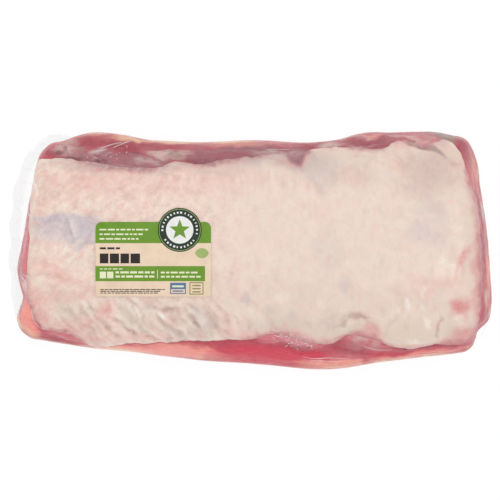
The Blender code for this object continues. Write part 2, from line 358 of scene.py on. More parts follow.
def furrows(lines):
    """Depth of grooves with raised banks. A line is (width, depth, corners); a ridge has a negative depth."""
    total = np.zeros(len(skin))
    plan = skin[:, :2] + 0.5 * wander[:, :2]
    for width, depth, corners in lines:
        path = smooth_path(corners)
        low, high = path.min(0) - 5 * width, path.max(0) + 5 * width
        within = ((plan > low) & (plan < high)).all(1)
        close = np.flatnonzero(within & (skin[:, 2] > FURROWED_ABOVE))
        gaps = np.linalg.norm(plan[close, None] - path[None], axis=2)
        nearest = gaps.argmin(1)
        apart = gaps.min(1) / width
        taper = np.sin(np.pi * np.clip((nearest + 0.6) / len(path), 0, 1)) ** 0.5
        groove = np.exp(-(apart**2)) - BANK_HEIGHT * np.exp(-(((apart - BANK_PLACE) / BANK_WIDTH) ** 2))
        total[close] += depth * taper * groove
    return total


def beside_edge(side, left, right, inner, outer):
    """A soft band along the fat's far (1) or near (-1) edge, `inner` mm inside it and `outer` outside it."""
    reach = ease(left - 6, left + 6, strayed[:, 0]) * ease(right + 6, right - 6, strayed[:, 0])
    across = ease(-outer - 2, -outer + 1, fat_edge) * ease(inner + 1.5, inner - 2, fat_edge)
    return reach * across * (side * skin[:, 1] > 20)


# Creases in the bare lean: (width, depth, corners in plan)
LEAN_CREASES = [
    (1.1, 0.9, [(-117.5, 68), (-118, 64), (-120, 60)]),
    (1.3, 0.8, [(-104, 62), (-96, 63.5), (-84, 66), (-77, 69)]),
    (1.2, 0.7, [(-66, 62), (-54, 63.5), (-40, 64)]),
    (1.0, 0.6, [(-40, 63.2), (-15, 63.6), (10, 63.6), (31, 63)]),
    (1.3, 0.8, [(57, 68), (70, 66.5), (84, 68.5)]),
    (1.2, 0.8, [(-128, -53), (-115, -56.8), (-104, -59)]),
    (1.4, 0.7, [(22, -60), (34, -64), (48, -66), (66, -65)]),
    (1.2, 0.6, [(66, -62), (90, -64.5), (116, -62.5)]),
]

# Patches of the lean's colour: (x, y, half length, half width, turn, strength)
LEAN_PATCHES = {
    "rosy": [
        (-90, 67, 44, 8, -3, 0.6), (6, 66, 60, 5, 0, 0.95), (62, 70, 30, 7, 5, 0.8),
        (94, 71, 18, 6, 0, 0.9), (137, 62, 8, 12, 40, 0.4), (141, 20, 4, 44, 7, 0.6),
        (145, -30, 4, 24, -2, 0.5),
    ],
    "rose": [
        (22, -55, 26, 5, -10, 0.85), (72, -56, 16, 6.5, 0, 0.85), (85, -62, 8, 3, 0, 0.6),
        (136, -54, 14, 9, 10, 0.9), (-112, -55, 20, 4, -12, 0.7), (110, 69.5, 18, 6, -14, 0.9),
        (141, -12, 3.5, 24, 0, 0.9), (-139, -27, 2.5, 9, 14, 0.8), (60, 70.5, 6, 2, 0, 0.4),
        (-141.5, 0, 5, 28, 6, 1), (141.5, 34, 4, 28, 10, 0.9), (-137, -36, 5, 14, 14, 0.8),
    ],
    "purple": [
        (-84, 57.5, 30, 5, -4, 0.8), (-24, 58.5, 20, 6.4, 2, 1), (0, 60.5, 26, 3.4, 0, 1),
        (30, 57, 9, 9, 0, 1), (29.5, 53, 7, 4, 0, 1), (35, 60, 5, 3, 0, 0.8), (24, 59, 4, 3, 0, 0.8),
        (72, 67, 15, 3.4, 4, 0.7), (30, 63, 10, 3, 0, 0.6), (-110, 59, 12, 3, -6, 0.6),
        (-60, 63, 12, 2, -6, 0.5), (88, 68, 8, 3, 0, 0.35), (-56, 54.4, 6, 3, 0, 0.9),
    ],
    "deep": [
        (-124.5, 60.8, 7.5, 3, -8, 0.95), (-92, 68.5, 24, 5, -2, 0.9), (-78, 64, 9, 3, -12, 0.9),
        (-58, 65.6, 16, 2.4, -4, 0.35), (-16, 59, 22, 4, 2, 0.35), (38, 65.4, 6.5, 2.8, 0, 0.8),
        (74, 68.5, 15, 4, 3, 0.45), (135, 64, 5, 7, 50, 0.8), (26, -62.5, 16, 4, -8, 0.7),
        (113, -61.4, 30, 2.2, 6, 0.8), (62, -59.5, 14, 3.2, 0, 0.6), (-112, -57.4, 16, 1.8, -8, 0.7),
        (-120, -59.4, 14, 2, -8, 0.8), (145.6, 14, 1.8, 22, 7, 0.9), (147.4, -42, 3, 9, 0, 0.6),
        (-107, 66, 5, 3, 0, 0.4), (-144, -8, 1.4, 10, 4, 0.3), (-140.4, 18, 1.4, 8, 10, 0.3),
        (-140, 42, 1.2, 5, 4, 0.8),
    ],
    # Vivid red on the near side
    "highlight_and_vivid_red": [
        (4, -66, 34, 11, -4, 1), (-135.5, -49, 4, 3, 0, 0.5), (38, -68, 24, 4, -4, 0.9),
        (-144, 0, 1.6, 12, 6, 0.3), (100, -65, 40, 4, 6, 0.5), (8, -70.6, 26, 2.4, -3, 0.7),
    ],
    "salmon": [
        (-62, -64, 38, 10, -6, 1), (54, -71.5, 24, 2.6, -2, 0.9), (106, -66, 34, 2, 8, 0.7),
        (-141.5, -41, 6, 12, -10, 1), (-60, -71, 36, 5, -5, 1), (-44, -62.6, 20, 4, -5, 1),
        (-140.6, -48, 5, 5, 0, 1), (-136.4, -50.6, 4, 3, -30, 0.5), (76, 72, 6, 2, 0, 0.6),
    ],
    # Painted backlight: an orange glow along the outline
    "backlit_orange": [
        (-84, 71, 10, 1.6, 0, 0.3), (-4, 66.8, 22, 1.8, 0, 0.5), (142, 50, 2, 12, 12, 0.8),
        (150.2, -14, 1.8, 14, 2, 1), (57, -73, 20, 2.4, 0, 0.9), (-104, 73.6, 8, 1.2, 0, 0.8),
        (30, 68, 20, 1.2, 0, 0.4),
    ],
    # Painted backlight as a pale glow along the outline, with pale fat at the edge in places
    "pale_and_backlit_rim": [
        (-14, 68.4, 18, 1.8, 0, 0.85), (-55, 68.8, 17, 1.5, 0, 1), (-104, 74.2, 8, 1, 0, 0.7),
        (-32, -67, 2.4, 6, -10, 0.4), (-86, -62.8, 18, 1.8, -5, 1), (92, -70, 24, 1.8, 7, 0.6),
        (-146, -46, 3.2, 7, -16, 1), (-138, 52, 2, 8, 6, 0.9), (110, -67.4, 18, 1.3, 7, 0.7),
        (-74, 70, 11, 2, -8, 0.8), (-140, -52, 7, 2.6, -35, 0.7), (-50, 67.8, 13, 2.2, 0, 0.8),
        (62, -75, 20, 1.2, 0, 0.6), (-141.6, -24, 1.4, 4, 20, 0.7), (-40, 67.8, 8, 1.8, 0, 0.8),
        (-97, 73.6, 6, 1.2, 0, 0.6), (149, -31, 2, 6, 0, 0.5),
    ],
    # Grey film, and painted shade on the pack's top right edge
    "grey_film_and_edge_shade": [
        (121, 73, 13, 2.4, -15, 0.9), (124.5, 70.4, 6, 2.6, -24, 0.9), (-107, 63, 4, 2.4, 0, 0.5),
        (-47, 58.6, 6, 2, 0, 0.6), (112, 71, 10, 3.5, -14, 0.4), (-117, 62, 6, 3, 0, 0.4),
        (138, 56, 4, 6, 30, 0.25),
    ],
    # Pale fat smeared on the lean, and painted film glints at the outline on the right
    "smear_and_glint": [
        (-117, 66, 8.5, 4, 8, 0.6), (-97, 62.4, 5, 1.2, 14, 0.6), (-54, 59.2, 11, 2.2, -6, 0.8),
        (-40, 60.8, 5, 1.6, 0, 0.6), (15, 61, 12, 2, 0, 0.5), (50, 65.6, 7, 1.9, 0, 0.8),
        (-65, 54.6, 9, 2.2, -4, 0.5), (29, 60, 4, 4, 0, 0.35), (-116, 62, 6, 3, 0, 0.4),
        (115, 70, 6, 2, -14, 0.25), (70, 66, 9, 0.8, 4, 0.35), (71.5, 71, 7, 1.2, 0, 0.3),
        (71, -54.5, 5, 2.5, 0, 0.5), (-144, -15, 1.6, 5, 0, 0.5), (62, 71, 5, 1.4, 20, 0.5),
        (104, 69, 12, 1.4, -12, 0.5), (78, -57, 3, 5, 10, 0.4), (66, -55, 2.4, 4, 24, 0.3),
        (96, 71, 9, 1, -4, 0.4), (146.6, 25, 1.6, 5, 8, 1), (149, -30, 1.8, 3.4, 0, 0.6),
        (142, -56, 3, 3, 30, 0.5),
    ],
    # Painted shade: thin dark lines in the lean's creases and under the fat's edge
    "fat_edge_and_crease_shade": [
        (-112, 58.4, 4, 1.2, 0, 0.7), (-119.6, 60.8, 2.6, 1.3, 10, 0.8), (-116.6, 64.6, 1.1, 2.6, 8, 0.6),
        (-95, 55, 4.5, 1.4, -10, 0.7), (-34, 55.6, 8, 1.2, 6, 0.6), (108, 65.6, 10, 1, -18, 0.7),
        (14, 63, 12, 0.8, 0, 0.4), (-48, 58.5, 5, 1.2, 0, 0.4), (-76, 60.8, 6, 0.8, -10, 0.4),
    ],
}

# Bands of colour along the fat's edge: (side, left x, right x, inner, outer, strength)
LEAN_BANDS = {
    "purple": [(1, -112, -58, 6, 5, 0.85), (1, -34, 12, 6, 8, 1), (1, 60, 88, 6, 2, 0.6)],
    "rose": [
        (-1, 8, 44, 6, 3, 0.9), (-1, 62, 80, 6, 4, 0.8), (-1, -128, -104, 6, 2.5, 0.8),
        (-1, 122, 146, 6, 3, 0.9),
    ],
    # Painted shade under the fat's lip
    "fat_edge_and_crease_shade": [(-1, -90, -4, 6, -0.8, 0.8), (-1, 92, 124, 6, 0.4, 0.6), (1, -38, -20, 6, 0.8, 0.5)],
}

# How far the patches reach up and down the sides; the pale rim, partly painted backlight, is a thinner line
# than the rest
PATCH_FALL = 7
RIM_FALL = 5
PATCH_SOFTNESS = 1.2

# What is laid over the lean's colour, in this order
LEAN_TONES = {
    "cut": (212, 128, 126),
    # Painted backlight on the sides
    "painted_backlight": (232, 138, 123),
    "rosy": (184, 108, 114),
    "rose": (222, 134, 142),
    "purple": (156, 112, 120),
    "deep": (166, 67, 82),
    # Vivid red; the fat's tone of the same name is a painted highlight
    "highlight_and_vivid_red": (220, 58, 84),
    "salmon": (255, 164, 151),
    # Painted backlight along the outline, the pale rim partly pale fat at the edge
    "backlit_orange": (244, 156, 134),
    "pale_and_backlit_rim": (250, 204, 168),
    # Grey film and painted edge shade
    "grey_film_and_edge_shade": (160, 146, 136),
    # Pale fat smears and painted glints
    "smear_and_glint": (212, 194, 186),
    # Painted shade
    "fat_edge_and_crease_shade": (112, 58, 72),
    "seam": (236, 214, 200),
}
LEAN_COLOUR = (196, 80, 94)
LEAN_BLOTCH = (176, 62, 82)

# Rings of fat between the muscles on the cut ends: (end, middle y, middle z, half width, half height)
SEAM_RINGS = [(1, 4, 27, 46, 19), (1, -52, 26, 11, 13), (-1, 8, 25, 43, 18), (-1, 54, 28, 9, 14)]
SEAM_HALF_WIDTH = 1.3


def end_seams():
    """Fat seams between the muscles on the two cut ends, as strength from 0 to 1."""
    _, y, z = strayed.T
    on_face = ease(134, 142, np.abs(skin[:, 0]))
    total = np.zeros(len(skin))
    for end, mid_y, mid_z, half_width, half_height in SEAM_RINGS:
        ring = np.hypot((y - mid_y) / half_width, (z - mid_z) / half_height)
        line = np.exp(-(((ring - 1) * half_height / SEAM_HALF_WIDTH) ** 2))
        total = np.maximum(total, line * on_face * (skin[:, 0] * end > 0))
    return total * (0.55 + 0.45 * ripple(skin, 14, 9.4)) * ease(36, 29, z)


def new_layer(mesh, name, values):
    layer = mesh.attributes.new(name, "FLOAT", "POINT")
    layer.data.foreach_set("value", np.clip(values, 0, 1).astype(np.float32))


def feed(tree, socket, value):
    """Links a value that comes from another socket, or sets a plain one."""
    if isinstance(value, bpy.types.NodeSocket):
        tree.links.new(value, socket)
    else:
        socket.default_value = value


def add_node(tree, kind, inputs=None, **settings):
    """A shader node with its settings made and its inputs, by name or number, linked or given a value."""
    made = tree.nodes.new("ShaderNode" + kind)
    for name, value in settings.items():
        setattr(made, name, value)
    for name, value in (inputs or {}).items():
        feed(tree, made.inputs[name], value)
    return made


def screen(colour):
    """A screen colour as the shader's linear numbers."""
    share = np.array(colour, float) / 255
    linear = np.where(share <= 0.04045, share / 12.92, ((share + 0.055) / 1.055) ** 2.4)
    return (*linear.tolist(), 1)


def calculate(tree, how, first, second, third=0):
    return add_node(tree, "Math", {0: first, 1: second, 2: third}, operation=how).outputs[0]


def blend(tree, share, first, second):
    """One colour laid over another by a share."""
    return add_node(tree, "Mix", {0: share, 6: first, 7: second}, data_type="RGBA").outputs[2]


def tinted(tree, colour, tints):
    """A colour with tones laid over it. Each tint is (share, the most that it covers, tone)."""
    for share, most, tone in tints:
        colour = blend(tree, calculate(tree, "MULTIPLY", share, most), colour, screen(tone))
    return colour


def between(tree, value, low, high):
    """0 where value is at low, 1 where it is at high, smooth in between."""
    settings = {"Value": value, "From Min": low, "From Max": high}
    return add_node(tree, "MapRange", settings, interpolation_type="SMOOTHSTEP").outputs[0]


def turned(tree, place, turn):
    """The place turned about the upright axis."""
    return add_node(tree, "VectorRotate", {"Vector": place, "Angle": turn}, rotation_type="Z_AXIS").outputs[0]


def vector_maths(tree, how, first, second):
    """Two vectors taken together, or a vector and a number where it is scaled."""
    by = "Scale" if how == "SCALE" else 1
    return add_node(tree, "VectorMath", {0: first, by: second}, operation=how).outputs[0]


def clouds(tree, place, scale, detail, warp=0, rough=0.5):
    """Soft noise, as its value and its colour; a greater scale makes finer clouds."""
    inputs = {"Vector": place, "Scale": scale, "Detail": detail, "Distortion": warp, "Roughness": rough}
    return add_node(tree, "TexNoise", inputs).outputs


def new_group(name, takes, gives):
    """An empty shader node group, its input node and its output node; takes and gives are {name: kind}."""
    tree = bpy.data.node_groups.new(name, "ShaderNodeTree")
    for side, sockets in (("INPUT", takes), ("OUTPUT", gives)):
        for label, kind in sockets.items():
            tree.interface.new_socket(label, in_out=side, socket_type="NodeSocket" + kind)
    return tree, tree.nodes.new("NodeGroupInput").outputs, tree.nodes.new("NodeGroupOutput").inputs


def use_group(tree, group, inputs):
    return add_node(tree, "Group", inputs, node_tree=group).outputs


def raw_grain_group():
    """Uneven colour of raw meat: long fibres, soft blotches, fine flecks and thin veins, each from 0 to 1."""
    takes = {"Place": "Vector", "Turn": "Float", "Fineness": "Vector", "Blotch Size": "Float"}
    gives = dict.fromkeys(("Fibre", "Blotch", "Fleck", "Vein"), "Float")
    tree, given, result = new_group("raw grain", takes, gives)
    place = given["Place"]
    fine = vector_maths(tree, "MULTIPLY", turned(tree, place, given["Turn"]), given["Fineness"])
    bent = vector_maths(tree, "SCALE", clouds(tree, place, 0.09, 2)["Color"], 1.6)
    fibre_place = vector_maths(tree, "ADD", fine, bent)
    blotch_scale = calculate(tree, "DIVIDE", 1, given["Blotch Size"])
    curl = clouds(tree, fibre_place, 0.8, 3, warp=1.4)[0]
    for name, value, low, high in (
        ("Fibre", clouds(tree, fibre_place, 1, 5, rough=0.62)[0], 0.36, 0.66),
        ("Blotch", clouds(tree, place, blotch_scale, 3, warp=0.8)[0], 0.38, 0.64),
        ("Fleck", clouds(tree, place, 0.26, 5, warp=0.7)[0], 0.34, 0.68),
        ("Vein", calculate(tree, "ABSOLUTE", calculate(tree, "SUBTRACT", curl, 0.5), 0), 0.06, 0),
    ):
        tree.links.new(between(tree, value, low, high), result[name])
    return tree


def gripped_film_group():
    """Height of the small wrinkles that tight film presses on the meat."""
    tree, given, result = new_group("gripped film", {"Place": "Vector"}, {"Height": "Float"})
    total = 0.5
    for turn, long, wide, share in ((0.9, 7, 1.6, 0.5), (-0.7, 9, 2.2, 0.4), (1.6, 2.4, 2.0, 0.5)):
        slanting = turned(tree, given["Place"], turn)
        shrunk = vector_maths(tree, "MULTIPLY", slanting, (1 / long, 1 / wide, 1 / long))
        total = calculate(tree, "MULTIPLY_ADD", clouds(tree, shrunk, 1, 3, warp=0.6)[0], share, total)
    tree.links.new(total, result["Height"])
    return tree


raw_grain = raw_grain_group()
gripped_film = gripped_film_group()


def start_material(name):
    """A material's node tree, its Principled shader and the place on the pack in millimetres."""
    material = bpy.data.materials.new(name)
    material.use_nodes = True
    tree = material.node_tree
    place = vector_maths(tree, "SCALE", add_node(tree, "TexCoord").outputs["Object"], 1 / MM)
    return material, tree, tree.nodes["Principled BSDF"], place


def set_shader(tree, shader, **values):
    """Feeds the shader's inputs, each named with _ for its spaces."""
    for name, value in values.items():
        feed(tree, shader.inputs[name.replace("_", " ")], value)


def lay_tones(tree, colour, tones, grain, ragged):
    """The painted patches, one over the other, with edges that the meat's own grain makes ragged."""
    uneven = calculate(tree, "ADD", grain["Fleck"], calculate(tree, "ADD", grain["Fibre"], -1))
    for name, tone in tones.items():
        painted = add_node(tree, "Attribute", attribute_name=name).outputs["Fac"]
        fray = calculate(tree, "MULTIPLY", between(tree, painted, 0, 0.4), ragged)
        frayed = {0: uneven, 1: fray, 2: painted}
        share = add_node(tree, "Math", frayed, operation="MULTIPLY_ADD", use_clamp=True).outputs[0]
        colour = blend(tree, share, colour, screen(tone))
    return colour


def bump(tree, height, distance):
    """A normal from a height of which 1 stands for `distance` mm."""
    return add_node(tree, "Bump", {"Height": height, "Distance": distance * MM, "Strength": 1}).outputs[0]


def lean_material():
    """Wet raw lean under tight film: dark red meat, its painted patches, among them painted backlight, shade
    and glints, long fibres and flecks.
    """
    material, tree, shader, place = start_material("raw lean")
    along_loin = {"Place": place, "Turn": 0.08, "Fineness": (0.12, 0.6, 0.6), "Blotch Size": 11}
    grain = use_group(tree, raw_grain, along_loin)
    colour = blend(tree, grain["Blotch"], screen(LEAN_COLOUR), screen(LEAN_BLOTCH))
    colour = lay_tones(tree, colour, LEAN_TONES, grain, ragged=0.25)
    streaks = [(grain["Fibre"], 0.1, (236, 160, 150)), (grain["Fleck"], 0.12, (132, 40, 56))]
    wrinkles = use_group(tree, gripped_film, {"Place": place})["Height"]
    relief = calculate(tree, "MULTIPLY_ADD", grain["Fibre"], 0.25, wrinkles)
    set_shader(
        tree,
        shader,
        Base_Color=tinted(tree, colour, streaks),
        Normal=bump(tree, relief, 0.5),
        Roughness=calculate(tree, "MULTIPLY_ADD", grain["Fleck"], 0.2, 0.28),
        Specular_IOR_Level=0.1,
        Coat_Weight=0.25,
        Coat_Roughness=0.14,
        Subsurface_Weight=0.18,
        Subsurface_Scale=0.003,
        Subsurface_Radius=(1, 0.35, 0.25),
    )
    return material


# The near right corner falls short of the bag there: the mark of its hollow, and the depth of it
CORNER_HOLLOW = (148, -54, 6, 7, 0, 1)
CORNER_DEPTH = 3.2
LEAN_OFF_TABLE = 0.15

lean_relief = -furrows(LEAN_CREASES) + 0.35 * ripple(skin, (26, 7, 7), 3.3) * off_the_floor
lean_sunk = FAT_UNDERSIDE * ease(0.4, 9, fat_edge)
corner_gap = CORNER_DEPTH * stains([CORNER_HOLLOW], fall=40, softness=1.6)
lean_lift = proud + lean_relief * ease(3, 0.4, fat_edge) - lean_sunk - corner_gap
lean_points = skin + outward * lean_lift[:, None]
lean_points[:, 2] = np.maximum(lean_points[:, 2], LEAN_OFF_TABLE)
lean_mesh = new_mesh("lean_meat", lean_points, skin_faces)
lean_layers = {}
for name, marks in LEAN_PATCHES.items():
    lean_layers[name] = stains(marks, RIM_FALL if name == "pale_and_backlit_rim" else PATCH_FALL, PATCH_SOFTNESS)
for name, bands in LEAN_BANDS.items():
    for *band, strength in bands:
        lean_layers[name] = np.maximum(lean_layers[name], strength * beside_edge(*band))
for name, values in lean_layers.items():
    new_layer(lean_mesh, name, values)
new_layer(lean_mesh, "seam", end_seams())
# Painted backlight: the lean is lighter and more orange where its sides face sideways, as if the white
# table's light shone through them
side_backlight = ease(0.5, 0.05, outward[:, 2]) * (0.5 + 0.65 * ripple(skin, (26, 12, 8), 6.1))
new_layer(lean_mesh, "painted_backlight", side_backlight * ease(13, 22, skin[:, 2]) * ease(46, 32, skin[:, 2]))
new_layer(lean_mesh, "cut", ease(24, 13, skin[:, 2]) * (0.75 + 0.6 * ripple(skin, (40, 9, 6), 3.7)))
lean_mesh.materials.append(lean_material())
new_piece("lean_meat", lean_mesh, ("sealed_loin",))

# Fat cap
# The layer of cream back fat that covers the loin's top, some 8 mm thick and left on by the butcher. It
# is soft, mottled pink, creased in folds where the film squeezes it, and thins to a rounded lip.

# The fat's step up from bare lean, what its thin edges lose of it, and the width of its rounded lip; then
# how far its rim tucks into the lean, how far its underside does, and its least thickness
FAT_STEP = 1.6
FAT_STEP_LOST = 1.2
FAT_LIP = 3
FAT_TUCK = 2
FAT_INTO_LEAN = 0.3
FAT_LEAST = 0.8
FAT_COLOUR = (232, 213, 199)

# Creases that the film presses into the fat, and ridges where the depth is negative: (width, depth, corners)
FAT_CREASES = [
    (1.3, 1.1, [(-87, -41.5), (-82, -44), (-77, -48.6), (-72, -52)]),
    (1.3, 0.9, [(-76, -31.5), (-71, -34.8), (-67, -40), (-66, -46)]),
    (1.3, 0.8, [(-62, -34), (-56, -37.6), (-49, -36.8), (-44, -38.4)]),
    (1.4, 0.9, [(-59, -41), (-53, -45), (-46, -50.4), (-40, -53)]),
    (1.3, 0.7, [(-97, -42), (-92, -45), (-86, -51), (-80, -54)]),
    (1.3, 0.7, [(-42, -37), (-36, -42), (-31, -50)]),
    (1.3, 0.5, [(-109, -34), (-103, -39), (-100, -46)]),
    (1.3, 0.5, [(-28, -40), (-22, -46), (-18, -53)]),
    (1.3, 0.4, [(-70, -52), (-62, -55), (-52, -56.6)]),
    (1.5, 0.7, [(55.4, -47.5), (58.5, -43), (62.2, -41), (67.5, -41), (72, -43.3), (74.3, -48.3)]),
    (2.2, -0.9, [(53, -54), (58, -48.6), (63, -45.6), (69, -45.2), (73, -48.6), (75.4, -53)]),
    (1.2, 0.7, [(60, -52.6), (62.2, -50), (65, -49.4)]),
    (1.1, 0.6, [(120.6, -41), (118, -48), (116.7, -55)]),
    (1.4, 0.6, [(122, -56), (127, -57), (132, -56)]),
    (1.6, 0.4, [(84, -52), (87, -46), (94, -42)]),
    (1.8, 1.7, [(98, 67), (105, 66), (112, 63.6), (118, 61.2), (123, 58.6)]),
    (1.1, 0.4, [(121, 58), (127.5, 54.4), (132.5, 52)]),
    (2.0, 0.5, [(90.4, 61.8), (94.4, 58), (98.5, 54)]),
    (0.9, 0.4, [(58, 59), (72, 58), (84, 56.9)]),
    (0.9, 0.35, [(75, 56.2), (84.7, 54.1)]),
    (0.9, 0.4, [(3, 57.6), (14, 56.2), (24, 53.3)]),
    (0.9, 0.35, [(-38, 48.3), (-26, 48.6), (-14.7, 47.6)]),
    (1.5, 0.6, [(-111, 1), (-104, 3.4), (-97, 5)]),
    (1.5, 0.4, [(-134, 23.6), (-124, 22.6), (-112, 22)]),
    (1.3, 0.5, [(-117, 20.2), (-114, 13.5), (-111, 7.8)]),
    (1.8, 0.4, [(-136, -13), (-124, -16.6), (-112, -21)]),
    (1.6, -0.4, [(-137, -10), (-125, -13.4), (-114, -17)]),
]

